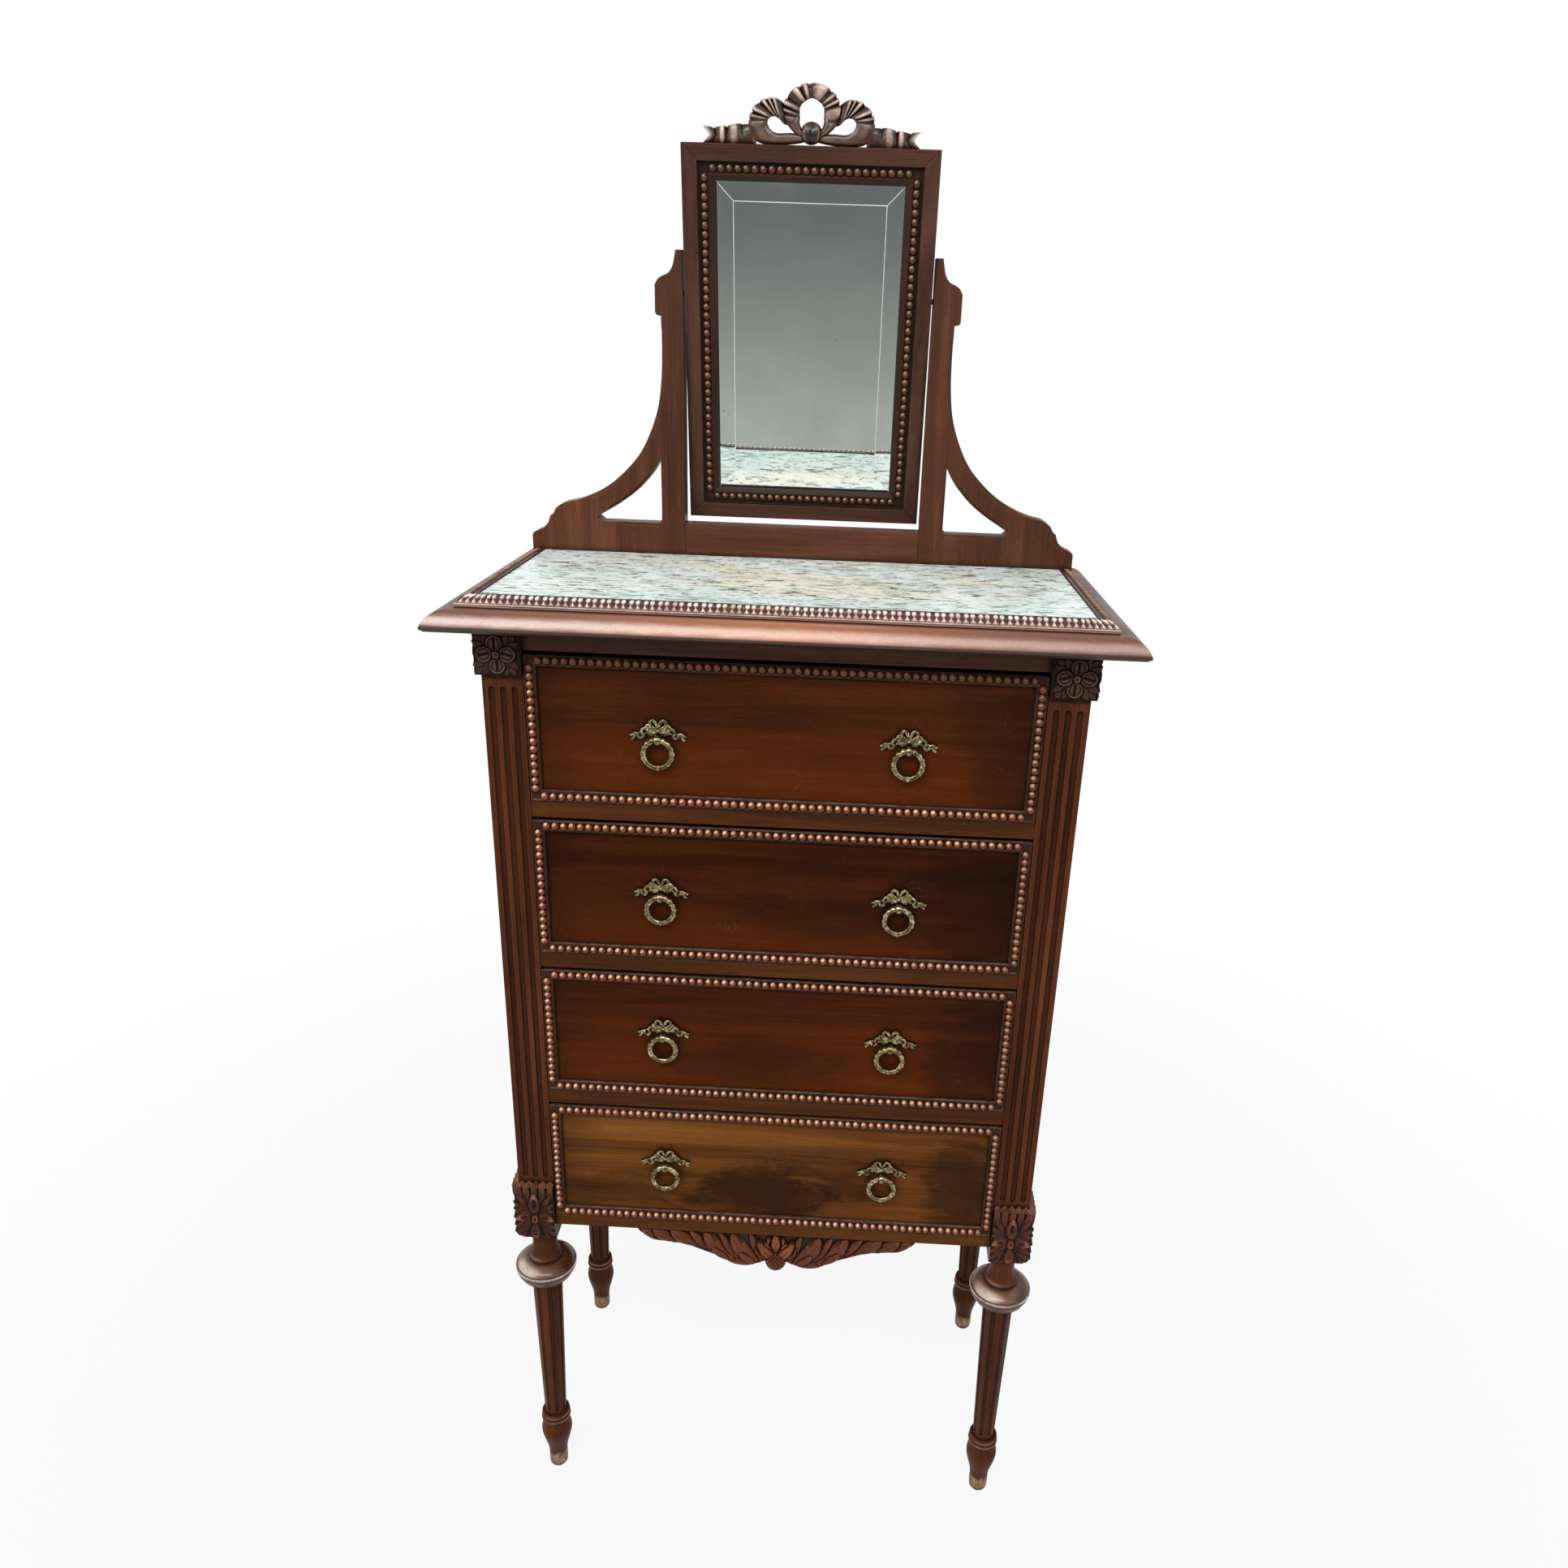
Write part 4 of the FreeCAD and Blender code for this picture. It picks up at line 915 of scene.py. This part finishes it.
def strip_section(lip):
    """Outline of the strip, outside to inside: (inset, height, raised, place across the carving, way out)."""
    points = [point + (None, 0.0) for point in FOOT_SECTION]
    for k in range(COVE_STEPS + 1):
        t = k / COVE_STEPS
        turn = math.radians(COVE_ARC[0] + COVE_ARC[1] * t)
        inset = COVE_MIDDLE[0] - COVE_REACH[0] * math.cos(turn)
        points.append((inset, COVE_MIDDLE[1] + COVE_REACH[1] * math.sin(turn), 0.0, t, turn))
    return points + [(inset, z, lip if z > LIP_Z else 0.0, None, 0.0) for inset, z in LIP_SECTION]


def from_corner(along, inset):
    """Place along a strip, from the outer corner: straight, with a fan where it meets the mitre."""
    if along > STRIP_FAN:
        return STRIP_INSET + along
    return inset + along * (1 - (inset - STRIP_INSET) / STRIP_FAN)


def leaf_strip(shape, length, steps, place, lip):
    section = strip_section(lip)
    rows = []
    for k in range(steps + 1):
        t = k / steps
        row = []
        for inset, z, high, w, turn in section:
            lift = 0.0
            if w is not None:
                lift = leaf_lift(t * length, w)
                # Painted highlight and shade: the lobes are painted brighter the higher they stand, the
                # ground between them darker
                high = min(lift / BRIGHT_LIFT, 1.0)
                lift = (lift - LEAF_DEPTH) * ramp_between(w, -0.02, 1.02, 0.06)
            spot = place(t, inset - 0.8 * lift * math.cos(turn), z + lift * math.sin(turn))
            row.append((*spot, high))
        rows.append(row)
    shape.skin(rows)


def top_strips():
    front, sides = Shape(), Shape()
    wide = 2 * (TOP_X - STRIP_INSET)
    deep = STAND_Y - 0.2 + TOP_Y - STRIP_INSET

    def along_front(t, inset, z):
        way = -1 if t < 0.5 else 1
        return way * (TOP_X - from_corner(wide * min(t, 1 - t), inset)), inset - TOP_Y, z

    leaf_strip(front, wide, 1600, along_front, 0.1)
    for sign in (-1, 1):
        def along_side(t, inset, z):
            return sign * (TOP_X - inset), from_corner(deep * t, inset) - TOP_Y, z

        leaf_strip(sides, deep, 700, along_side, 0.45)
    for name, shape, material in (("leaf_moulding_front", front, lit_leaf_wood),
                                  ("leaf_moulding_sides", sides, shaded_side_leaf_wood)):
        piece(name, shape, "carcass", material, ["top_moulding"], sharp=55.0)


top_strips()

# Mitred mouldings with their rows of beads; a row is (inset, spaces across, spaces up)
DRAWER_BEADS = (6.0, 57, 17)
MIRROR_BEADS = (24.5, 25, 38)
DRAWER_SEED = 20
MIRROR_SEED = 31
BEAD_SIZES = (0.95, 1.02)
BEAD_SHAPES = (0.97, 1.03)
BEAD_SHIFT = (-0.15, 0.15)
BEAD_DEPTH = (-0.1, 0.25)


def mitred_strip(shape, x0, x1, z0, z1, y, section):
    corners = ((x0, z0, 1, 1), (x1, z0, -1, 1), (x1, z1, -1, -1), (x0, z1, 1, -1))
    shape.skin([[(cx + sx * i, y + d, cz + sz * i) for i, d in section]
                for cx, cz, sx, sz in corners], "ring")


def bead_rows(shape, x0, x1, z0, z1, y, inset, across, up, seed, put=lambda p: p):
    """Hand-cut beads: no two quite the same size or quite in line."""
    rng = random.Random(seed)
    xa, xb, za, zb = x0 + inset, x1 - inset, z0 + inset, z1 - inset
    spots = []
    for k in range(1, across):
        x = xa + (xb - xa) * k / across
        spots += [(x, za), (x, zb)]
    for k in range(1, up):
        z = za + (zb - za) * k / up
        spots += [(xa, z), (xb, z)]
    for x, z in spots:
        r = BEAD_R * rng.uniform(*BEAD_SIZES)
        spot = (x + rng.uniform(*BEAD_SHIFT), y + rng.uniform(*BEAD_DEPTH), z + rng.uniform(*BEAD_SHIFT))
        shape.ball(put(spot), (r * rng.uniform(*BEAD_SHAPES), r, r * rng.uniform(*BEAD_SHAPES)), 18, 12)


DRAWER_MOULD = [(0.3, 0.0), (1.7, 0.0), (2.1, 0.5), (2.3, 1.6), (9.7, 1.6), (9.9, 0.5), (10.3, 0.0),
                (11.4, 0.0), (12.2, 0.4), (12.8, 1.2), (13.0, 2.2), (13.0, 4.0), (0.0, 4.0), (0.0, 0.3)]
for k, drawer in enumerate(DRAWERS):
    box = (-DRAWER_HALF_W, DRAWER_HALF_W, DRAWER_LOW[k], DRAWER_LOW[k] + DRAWER_H)
    strip, beads = Shape(), Shape()
    mitred_strip(strip, *box, FRONT_Y, DRAWER_MOULD)
    bead_rows(beads, *box, FRONT_Y - 0.2, *DRAWER_BEADS, DRAWER_SEED + k)
    piece(drawer + "_strip", strip, drawer, strip_wood, [drawer + "_beading"])
    piece(drawer + "_beads", beads, drawer, bead_wood, [drawer + "_beading"])


def lean(point):
    """Where a point of the upright mirror lies once the mirror leans on its pins."""
    x, y, z, *rest = point
    dy, dz = y - PIVOT_Y, z - PIVOT_Z
    return (x, PIVOT_Y + dy * math.cos(MIRROR_LEAN) - dz * math.sin(MIRROR_LEAN),
            PIVOT_Z + dy * math.sin(MIRROR_LEAN) + dz * math.cos(MIRROR_LEAN), *rest)


shape = Shape()
bead_rows(shape, -MIRROR_X, MIRROR_X, MIRROR_LOW, MIRROR_TOP, MIRROR_FRONT_Y + 5.6, *MIRROR_BEADS,
          MIRROR_SEED, lean)
piece("mirror_beads", shape, "mirror", frame_bead_wood, ["mirror_beading"])

# Ribbon bow on top of the mirror; each place is an inner point, an outer point and how far it stands out
CREST_BACK = PIVOT_Y + 3.0
CROWN_RISE = 2.2
CENTRE_LOOP = [(4.0, 13.0, 9.0, 5.0, 8.0), (10.5, 14.0, 17.0, 10.5, 10.0), (16.2, 20.0, 25.4, 18.5, 10.0),
               (13.3, 27, 29.6, 31, 10), (12.7, 36, 28.2, 43.5, 10.5), (7.4, 41.5, 17, 54, 11),
               (0, 44.5, 0, 58.3, 11.5)]
SIDE_LOOP = [(3.0, 13.5, 6.0, 3.5, 7.0), (12, 11.3, 14.0, 1.6, 8.5), (24, 11.6, 29.4, 0, 9),
             (36, 11.0, 49.3, 0, 9.5), (43.5, 13.5, 60.1, 3.2, 10), (47.3, 18.5, 66.7, 11.7, 9.5),
             (47.7, 22.4, 67.9, 21.9, 9), (45.2, 25.5, 63.9, 32.7, 9), (40.2, 26.6, 56, 40.4, 8.5),
             (35.2, 24.5, 45.2, 43.8, 8), (30.7, 20.2, 36, 42.6, 7), (25.4, 18.4, 26, 36.9, 6),
             (19.0, 17.5, 21.0, 33.0, 4.0)]
CURL = [(6.0, 12.0, 9.5, 8.0, 9.0), (11.0, 16.5, 15.5, 12.5, 10.5), (13.2, 22.0, 20.4, 19.5, 10.5),
        (12.6, 27.0, 17.8, 27.0, 9.0)]
TAIL = [(60, 0, 60, 17, 6), (72.6, 0, 74, 19.3, 7.5), (87.5, 0, 87.5, 17.2, 8), (100.8, 0, 100.8, 15.3, 8),
        (111.0, 0, 111.0, 15.2, 8)]


def ribbon_fold(shape, stations, sign, pleats, depth, gathered=(-0.2, 1.2), steps=14, across=15, fork=0.0):
    """Carved ribbon: a strip between an inner and an outer edge, gathered into rounded pleats."""
    line = smooth_line(stations, steps)
    rows = []
    for k, (ix, iz, ox, oz, out) in enumerate(line):
        t = k / (len(line) - 1)
        gather = ramp_between(t, *gathered, 0.12)
        phase = pleats * t + 0.28 * math.sin(2.3 * pleats * t + 1.3) + 0.16 * math.sin(1.3 * pleats * t)
        fold = math.sin(math.pi * (phase % 1.0) ** 0.75) ** 0.7
        width = math.hypot(ox - ix, oz - iz)
        front = []
        for n in range(across):
            s = n / (across - 1)
            off = abs(2 * s - 1)
            swell = 1 + 2.0 / width * gather * (fold - 0.6) * s ** 2
            x, z = ix + (ox - ix) * s * swell, iz + (oz - iz) * s * swell
            x += fork * max(0.0, (t - 0.72) / 0.28) * off ** 1.3
            crown = CROWN_RISE * (1 - off ** 2.5)
            high = out - depth * gather * (1 - fold) * (0.30 + 0.70 * s) + crown - CROWN_RISE
            # Painted highlight and shade: pleat ridges are painted bright and valleys dark
            smooth = 0.42 + 0.30 * (1 - off ** 2)
            level = smooth + (0.05 + 0.95 * fold ** 1.8 - smooth) * gather * (0.5 + 0.5 * s)
            front.append((sign * x, CREST_BACK - high, MIRROR_TOP + z, level))
        back = [(x, CREST_BACK, z, 0.3) for x, y, z, level in reversed(front)]
        rows.append([lean(p) for p in front + back])
    first = len(shape.verts)
    shape.skin(rows, "pipe")
    for end in (first, first + (len(rows) - 1) * 2 * across):
        for n in range(across - 1):
            far = end + 2 * across - 1 - n
            shape.faces.append((end + n, end + n + 1, far - 1, far))


def knot_wraps(polar, turn):
    across, up = math.sin(polar) * math.cos(turn), math.sin(polar) * math.sin(turn)
    about = math.atan2(across, abs(math.cos(polar)) + 0.05)
    bands = 0.06 * math.cos(8.0 * about) - 0.20 * math.exp(-((about - 0.15 * up) / 0.20) ** 2)
    return 1.0 + bands * (1 - up ** 4)


def crest():
    shape = Shape()
    arch = CENTRE_LOOP + [(-ix, iz, -ox, oz, out) for ix, iz, ox, oz, out in reversed(CENTRE_LOOP[:-1])]
    ribbon_fold(shape, arch, 1, 14, 5.4, gathered=(0.16, 0.84), steps=20)
    for sign in (-1, 1):
        ribbon_fold(shape, SIDE_LOOP, sign, 14, 5.2, gathered=(0.44, 1.2), steps=20)
        ribbon_fold(shape, TAIL, sign, 3.4, 5.6, steps=28, fork=7.5)
        ribbon_fold(shape, CURL, sign, 1, 0.0, gathered=(2.0, 3.0))
    knot = Shape()
    knot.ball((0, CREST_BACK - 8.0, MIRROR_TOP + 11.8), (10.9, 8.6, 11.2), 64, 40, knot_wraps)
    shape.join(knot, lean)
    piece("crest_bow", shape, "mirror", crest_wood, ["mirror_crest"], sharp=50.0)


crest()

# Mirror stand: sawn brackets with stopped chamfers
SLIM_CHAMFER = 0.7
BRACE_OUTSIDE = [(293.0, 1305.5), (271.0, 1311.0), (247.0, 1322.0), (225.0, 1337.5), (201.0, 1362.5),
                 (186.0, 1389.0), (175.5, 1419.0), (171.0, 1449.0), (169.5, 1482.0), (169.7, 1521.5)]
BRACE_INSIDE = [(172.2, 1364.0), (179.0, 1350.6), (188.0, 1338.6), (203.0, 1322.8), (223.0, 1307.6),
                (241.0, 1296.8), (252.0, 1290.0)]
FOOT_SCROLL = [(330.6, 1269.2), (321.0, 1273.4), (313.6, 1280.4), (310.2, 1289.6)]
FOOT_HOOK = [(306.0, 1292.4), (302.0, 1299.6), (293.0, 1305.5)]
TOP_SCROLL = [(168.5, 1564.0), (160.6, 1567.8), (155.8, 1575.0), (153.4, 1585.0), (152.2, 1592.0)]
HOLE_REST = [(246.0, 1285.0), (238.0, 1285.0), (215.0, 1285.0), (190.0, 1285.0), (177.2, 1285.0),
             (173.7, 1286.5), (172.2, 1290.0), (172.2, 1305.0), (172.2, 1325.0), (172.2, 1346.0),
             (172.2, 1352.0)]

# Chamfers stop short of the joints: (start, end, run-out)
BRACE_CHAMFER = (1312.0, 1512.0, 6.0)
HOLE_FOOT_CHAMFER = (170.0, 236.0, 5.0)
HOLE_SIDE_CHAMFER = (1284.0, 1345.0, 5.0)
HOLE_BRACE_CHAMFER = (182.0, 238.0, 5.0)


def bend(points, steps):
    return [tuple(p) for p in smooth_line(points, steps)]


def bracket_outline():
    line = [(UPRIGHT_IN, 1238.0), (333.4, 1238.0), (333.4, 1265.0), (332.6, 1267.6)]
    line += bend(FOOT_SCROLL, 6) + bend(FOOT_HOOK, 5)[:-1] + bend(BRACE_OUTSIDE, 8)
    line += [(174.6, 1522.4), (176.4, 1525.0), (176.4, 1555.0), (173.0, 1560.8)]
    return line + bend(TOP_SCROLL, 6) + [(UPRIGHT_IN, 1592.0)]


def outer_chamfer(x, z):
    on_brace = x > 168.0 and z < 1521.0
    return SLIM_CHAMFER + 3.6 * (ramp_between(z, *BRACE_CHAMFER) if on_brace else 0.0)


def hole_chamfer(x, z):
    if z < 1286.0:
        return SLIM_CHAMFER + 3.0 * ramp_between(x, *HOLE_FOOT_CHAMFER)
    if x < 173.0:
        return SLIM_CHAMFER + 2.2 * ramp_between(z, *HOLE_SIDE_CHAMFER)
    return SLIM_CHAMFER + 3.2 * ramp_between(x, *HOLE_BRACE_CHAMFER)


def inset_ring(line, amount):
    """The line moved towards its left side, by an amount for each point."""
    ring = []
    for k, (x, z) in enumerate(line):
        (ax, az), (bx, bz) = line[k - 1], line[(k + 1) % len(line)]
        la = math.hypot(x - ax, z - az) or 1.0
        lb = math.hypot(bx - x, bz - z) or 1.0
        nx = -(z - az) / la - (bz - z) / lb
        nz = (x - ax) / la + (bx - x) / lb
        size = math.hypot(nx, nz) or 1.0
        grow = min(2.0 / max(size, 0.6), 1.5)
        ring.append((x + nx / size * amount[k] * grow, z + nz / size * amount[k] * grow))
    return ring


def bracket(side, sign):
    mesh = bmesh.new()
    loops = ([], [])
    hole = bend(BRACE_INSIDE, 6) + HOLE_REST
    for line, chamfer in ((bracket_outline(), outer_chamfer), (hole, hole_chamfer)):
        count = len(line)
        cut = [chamfer(x, z) for x, z in line]
        slim = [SLIM_CHAMFER] * count
        rings = [(inset_ring(line, cut), [0.0] * count), (line, cut),
                 (line, [STAND_T - SLIM_CHAMFER] * count), (inset_ring(line, slim), [STAND_T] * count)]
        made = []
        for ring, depth in rings:
            spots = [(sign * x * MM, (STAND_Y + d) * MM, z * MM) for (x, z), d in zip(ring, depth)]
            made.append([mesh.verts.new(spot) for spot in spots])
        for a, b in zip(made, made[1:]):
            for n in range(count):
                mesh.faces.new((a[n], a[(n + 1) % count], b[(n + 1) % count], b[n]))
        for edges, ring in zip(loops, (made[0], made[-1])):
            edges += [mesh.edges.get((ring[n], ring[(n + 1) % count])) for n in range(count)]
    for edges in loops:
        bmesh.ops.triangle_fill(mesh, use_beauty=True, edges=edges)
    shape = Shape()
    mesh.verts.index_update()
    shape.verts = [tuple(c / MM for c in v.co) for v in mesh.verts]
    shape.raised = [PLAIN] * len(shape.verts)
    shape.faces = [tuple(v.index for v in f.verts) for f in mesh.faces]
    mesh.free()
    piece("bracket_" + side, shape, "carcass", stand_wood, ["mirror_bracket_" + side],
          sharp=24.0)


for side, sign in SIDES:
    bracket(side, sign)

# Cast bow pulls and their wreath rings; ribbon places are (across, up, out) from the eye
BOW_RIBBONS = [
    ([(0.4, 9.6, 3.2), (1.4, 14.0, 4.0), (3.0, 18.6, 4.4), (6.2, 20.6, 4.2), (9.0, 18.4, 3.6),
      (8.6, 14.6, 3.4), (5.4, 12.2, 3.8), (1.2, 10.4, 4.6)], 1.5, 1.45),
    ([(1.2, 9.4, 4.6), (5.6, 9.4, 4.4), (9.2, 12.2, 4.2), (11.4, 14.8, 4.0), (13.4, 12.8, 3.2),
      (12.4, 9.4, 3.4), (9.2, 7.2, 3.8), (4.6, 6.4, 4.2), (0.8, 7.8, 4.6)], 1.5, 1.4),
    ([(9.0, 9.4, 2.6), (13.0, 11.2, 3.4), (17.4, 10.2, 4.0), (18.6, 6.6, 3.4), (16.6, 2.8, 2.4),
      (18.8, 0.6, 2.6), (21.8, 1.6, 3.4), (23.6, 4.6, 3.8), (26.4, 5.4, 3.4), (29.4, 3.6, 2.6),
      (32.0, 2.4, 1.8)], 1.5, 1.3),
    ([(24.8, 4.8, 3.2), (26.8, 1.6, 2.8), (28.8, -0.8, 2.2), (31.0, -2.2, 1.6)], 1.3, 1.0),
    ([(0.6, 7.2, 4.0), (4.0, 4.8, 3.4), (8.0, 4.4, 2.6), (11.6, 6.2, 2.4), (15.4, 5.2, 2.2)], 1.4, 1.2),
]
RIBBON_SIDES = 14
BOW_NARROWED = 0.95
RIBBON_WIDENED = 1.22
RIBBON_THICKENED = 1.2
STUD_UP = 9.0
WREATH_R = 3.25
WINDINGS = 8.5
COLLAR_LENGTH = 4.4
COLLAR_PITCH = 2.2
COLLAR_R = 3.2
BAND_RISE = 0.9


def cast_ribbon(shape, points, half, thick):
    """Half-round ribbon that lies along the drawer front, with a groove down its middle."""
    line = smooth_line(points, 6)
    rows = []
    for k, p in enumerate(line):
        a, b = line[max(k - 1, 0)], line[min(k + 1, len(line) - 1)]
        tx, tz = b[0] - a[0], b[1] - a[1]
        size = math.hypot(tx, tz) or 1.0
        nx, nz = -tz / size, tx / size
        t = k / (len(line) - 1)
        taper = 0.66 + 0.34 * math.sin(math.pi * min(max(t, 0.05), 0.95)) ** 0.5
        ripple = 0.8 + 0.2 * math.cos(9.0 * math.pi * t)
        row = []
        for turn in turns(RIBBON_SIDES):
            side, rise = math.cos(turn) * half * taper, math.sin(turn) * thick * taper * ripple
            groove = math.exp(-(side / 0.5) ** 2) if rise > 0 else 0.0
            level = clamp(0.2 + 0.7 * math.sin(turn) - 0.5 * groove)
            row.append((p[0] + nx * side, FIELD_Y - p[2] - rise + 0.5 * groove, p[1] + nz * side, level))
        rows.append(row)
    shape.skin(rows)


def bow_plate(shape, x, z):
    own = Shape()
    for points, half, thick in BOW_RIBBONS:
        for sign in (-1, 1):
            line = [(sign * BOW_NARROWED * px, pz, out) for px, pz, out in points]
            cast_ribbon(own, line, RIBBON_WIDENED * half, RIBBON_THICKENED * thick)
    own.ball((0.0, FIELD_Y - 4.6, STUD_UP), (2.7, 2.4, 2.5), 20, 12,
             lambda polar, turn: 1 + 0.07 * math.sin(4 * turn + 5 * polar))
    for sign in (-1, 1):
        own.ball((sign * 5.6, FIELD_Y - 1.6, 8.6), (4.6, 1.6, 3.4), 18, 8)
        own.ball((sign * 20.6, FIELD_Y - 1.0, 3.8), (7.0, 1.0, 2.4), 18, 8)
    rows = []
    for k in range(15):
        t = k / 14
        arc = math.pi * (0.10 + 0.80 * t)
        up = 3.6 - 4.4 * t + 1.4 * math.cos(arc)
        half = 2.0 + 0.9 * math.sin(math.pi * t)
        out = 2.0 + 4.2 * math.sin(arc) ** 0.7
        rows.append([(half * math.cos(a), FIELD_Y - out - 1.1 * math.sin(a), up)
                     for a in turns(RIBBON_SIDES)])
    own.skin(rows)
    radii = [(a, 5.05 + 0.65 * math.cos(a)) for a in turns(10)]
    own.skin([[(2.7 * math.sin(a), EYE_Y + r * math.cos(turn), r * math.sin(turn)) for a, r in radii]
              for turn in turns(40)], "ring")
    own.rod(0, STUD_UP, FIELD_Y - 1.0, FIELD_Y + 27.0, [2.35] * 8)
    own.rod(0, STUD_UP, FIELD_Y + 20.2, FIELD_Y + 24.2, [4.4, 5.0, 5.0, 5.0, 4.4], 6)
    shape.join(own, lambda p: (x + p[0], p[1], z + p[2]))


def wreath_ring(x, z):
    """Ring cast as a laurel wreath wound with ribbon, with a band below and a ribbed collar at the eye."""
    rows = []
    for turn in turns(216):
        way = abs(turn - math.pi)
        from_eye = (math.pi - way) * RING_R
        band = math.exp(-(way * RING_R) ** 2)
        plain = ramp_between(way, 0.75, 9.0, 0.35)
        row = []
        for a in turns(24):
            winding = abs(math.sin(WINDINGS * way + a)) ** 0.6 * plain
            leaf = abs(math.sin(WINDINGS * way - a + 0.8)) ** 1.4 * plain
            radius = WREATH_R - 0.35 * plain + 0.52 * winding + 0.32 * leaf
            high = 0.45 - 0.35 * plain + 0.55 * winding + 0.35 * leaf
            if from_eye < COLLAR_LENGTH:
                rib = abs(math.cos(math.pi * from_eye / COLLAR_PITCH)) ** 0.7
                radius, high = COLLAR_R + 0.8 * rib, 0.1 + 0.8 * rib
            radius += BAND_RISE * band
            reach = RING_R + radius * math.cos(a) + 0.5 * band * math.cos(a)
            row.append((x + reach * math.sin(turn), EYE_Y - radius * math.sin(a),
                        z - RING_R + reach * math.cos(turn), min(high + band, 1.0)))
        rows.append(row)
    shape = Shape()
    shape.skin(rows, "ring")
    return shape


for k, drawer in enumerate(DRAWERS):
    shape = Shape()
    for sign in (-1, 1):
        bow_plate(shape, sign * PULL_X, PULL_Z[k])
    piece(drawer + "_bows", shape, drawer, metal, [drawer + "_pull_plates"], sharp=60.0)
    for side, sign in SIDES:
        piece(drawer + "_wreath_" + side, wreath_ring(sign * PULL_X, PULL_Z[k]), "ring_%d_%s" % (k + 1, side),
              metal, [drawer + "_ring_" + side], sharp=60.0)


# Floor, light and camera; places here are in metres
AMBIENT = 0.5
PAPER_GREY = (0.55, 0.55, 0.55, 1.0)
FLOOR_HALF = 14
CARD_Y = -2.4
LAMPS = [("overhead_strip", (-0.3, -1.75, 2.7), (-0.1, 0.0, 1.0), 2.6, 0.6, 46.0),
         ("front_left", (-2.0, -2.6, 1.9), (0.0, 0.0, 0.8), 1.6, 1.6, 18.0),
         ("front_right", (2.2, -2.2, 1.5), (0.0, 0.0, 0.7), 1.6, 1.6, 10.0)]


def seen_ray(g):
    """1 for the rays that show the background: straight to the camera, or by way of metal and glass."""
    path = g.add("ShaderNodeLightPath").outputs
    return g.most(g.most(path["Is Camera Ray"], path["Is Glossy Ray"]), path["Is Transmission Ray"])


def studio_world():
    g = Graph("studio", bpy.data.worlds)
    scene.world = g.owner
    strength = g.add("ShaderNodeMapRange", {"Value": seen_ray(g), "To Min": AMBIENT, "To Max": 1.0})
    sky = g.add("ShaderNodeBackground", {"Color": WHITE, "Strength": strength.outputs[0]})
    g.add("ShaderNodeOutputWorld", {"Surface": sky.outputs[0]})


def flat_sheet(name, corners, material):
    mesh = bpy.data.meshes.new(name)
    mesh.from_pydata(corners, [], [(0, 1, 2, 3)])
    return in_scene(name, mesh, material)


def floor():
    """Pale paper that keeps the shadow near the object and fades to white farther out."""
    g = Graph("floor_paper")
    flat = g.add("ShaderNodeVectorMath", {0: g.place, 1: (1.0, 1.0, 0.0)}, operation="MULTIPLY").outputs[0]
    far = g.add("ShaderNodeVectorMath", {0: flat}, operation="LENGTH").outputs["Value"]
    white = g.times(seen_ray(g), g.span(far, 0.5, 2.2, 0.90, 1.0))
    diffuse = g.add("ShaderNodeBsdfDiffuse", {"Color": PAPER_GREY})
    glow = g.add("ShaderNodeEmission", {"Color": WHITE, "Strength": 1.0})
    paper = g.surface(g.add("ShaderNodeMixShader", {0: white, 1: diffuse.outputs[0], 2: glow.outputs[0]}))
    corners = [(-1, -1), (1, -1), (1, 1), (-1, 1)]
    obj = flat_sheet("floor", [(x * FLOOR_HALF, y * FLOOR_HALF, 0) for x, y in corners], paper)


def glowing_reflection_card():
    """Glowing card behind the camera, darker towards its top, seen only in reflections: a painted reflection
    in the glass, the brass and other glossy surfaces.
    """
    g = Graph("glowing_reflection_card")
    shade = g.ramp(g.span(g.split["Z"], 0.1, 1.25), [(0.0, (196, 195, 190)), (1.0, (112, 116, 116))])
    card = g.surface(g.add("ShaderNodeEmission", {"Color": shade, "Strength": 1.0}))
    obj = flat_sheet("glowing_reflection_card", [(x, CARD_Y, z) for x, z in ((-3, 0), (3, 0), (3, 1.6), (-3, 1.6))], card)
    obj.visible_camera = False
    obj.visible_diffuse = False
    obj.visible_shadow = False


def lamp(name, place, aim, width, depth, power):
    data = bpy.data.lights.new(name, "AREA")
    data.shape = "RECTANGLE"
    data.size = width
    data.size_y = depth
    data.energy = power
    obj = bpy.data.objects.new(name, data)
    obj.location = place
    x, y, z = (a - p for a, p in zip(aim, place))
    obj.rotation_euler = Euler((math.atan2(math.hypot(x, y), -z), 0.0, math.atan2(y, x) - math.pi / 2))
    scene.collection.objects.link(obj)


studio_world()
floor()
glowing_reflection_card()
for row in LAMPS:
    lamp(*row)

# Camera fitted to the photograph; its measures on the picture are in pixels, its turn in degrees
PHOTO_SIZE = 1932.0
FOCAL_PIXELS = 1460.9
MIDDLE_PIXEL = (1009.9, 985.0)
SENSOR_MM = 36.0
CAMERA_PLACE = (0.0724, -1.3488, 1.5098)
CAMERA_TURN = (68.5016, -1.8851, 2.2466)
lens = bpy.data.cameras.new("camera")
lens.sensor_width = SENSOR_MM
lens.lens = SENSOR_MM * FOCAL_PIXELS / PHOTO_SIZE
lens.shift_x = -(MIDDLE_PIXEL[0] - PHOTO_SIZE / 2) / PHOTO_SIZE
lens.shift_y = (MIDDLE_PIXEL[1] - PHOTO_SIZE / 2) / PHOTO_SIZE
camera = bpy.data.objects.new("camera", lens)
camera.location = CAMERA_PLACE
camera.rotation_euler = Euler([math.radians(angle) for angle in CAMERA_TURN])
scene.collection.objects.link(camera)
scene.camera = camera
scene.view_settings.view_transform = "Standard"
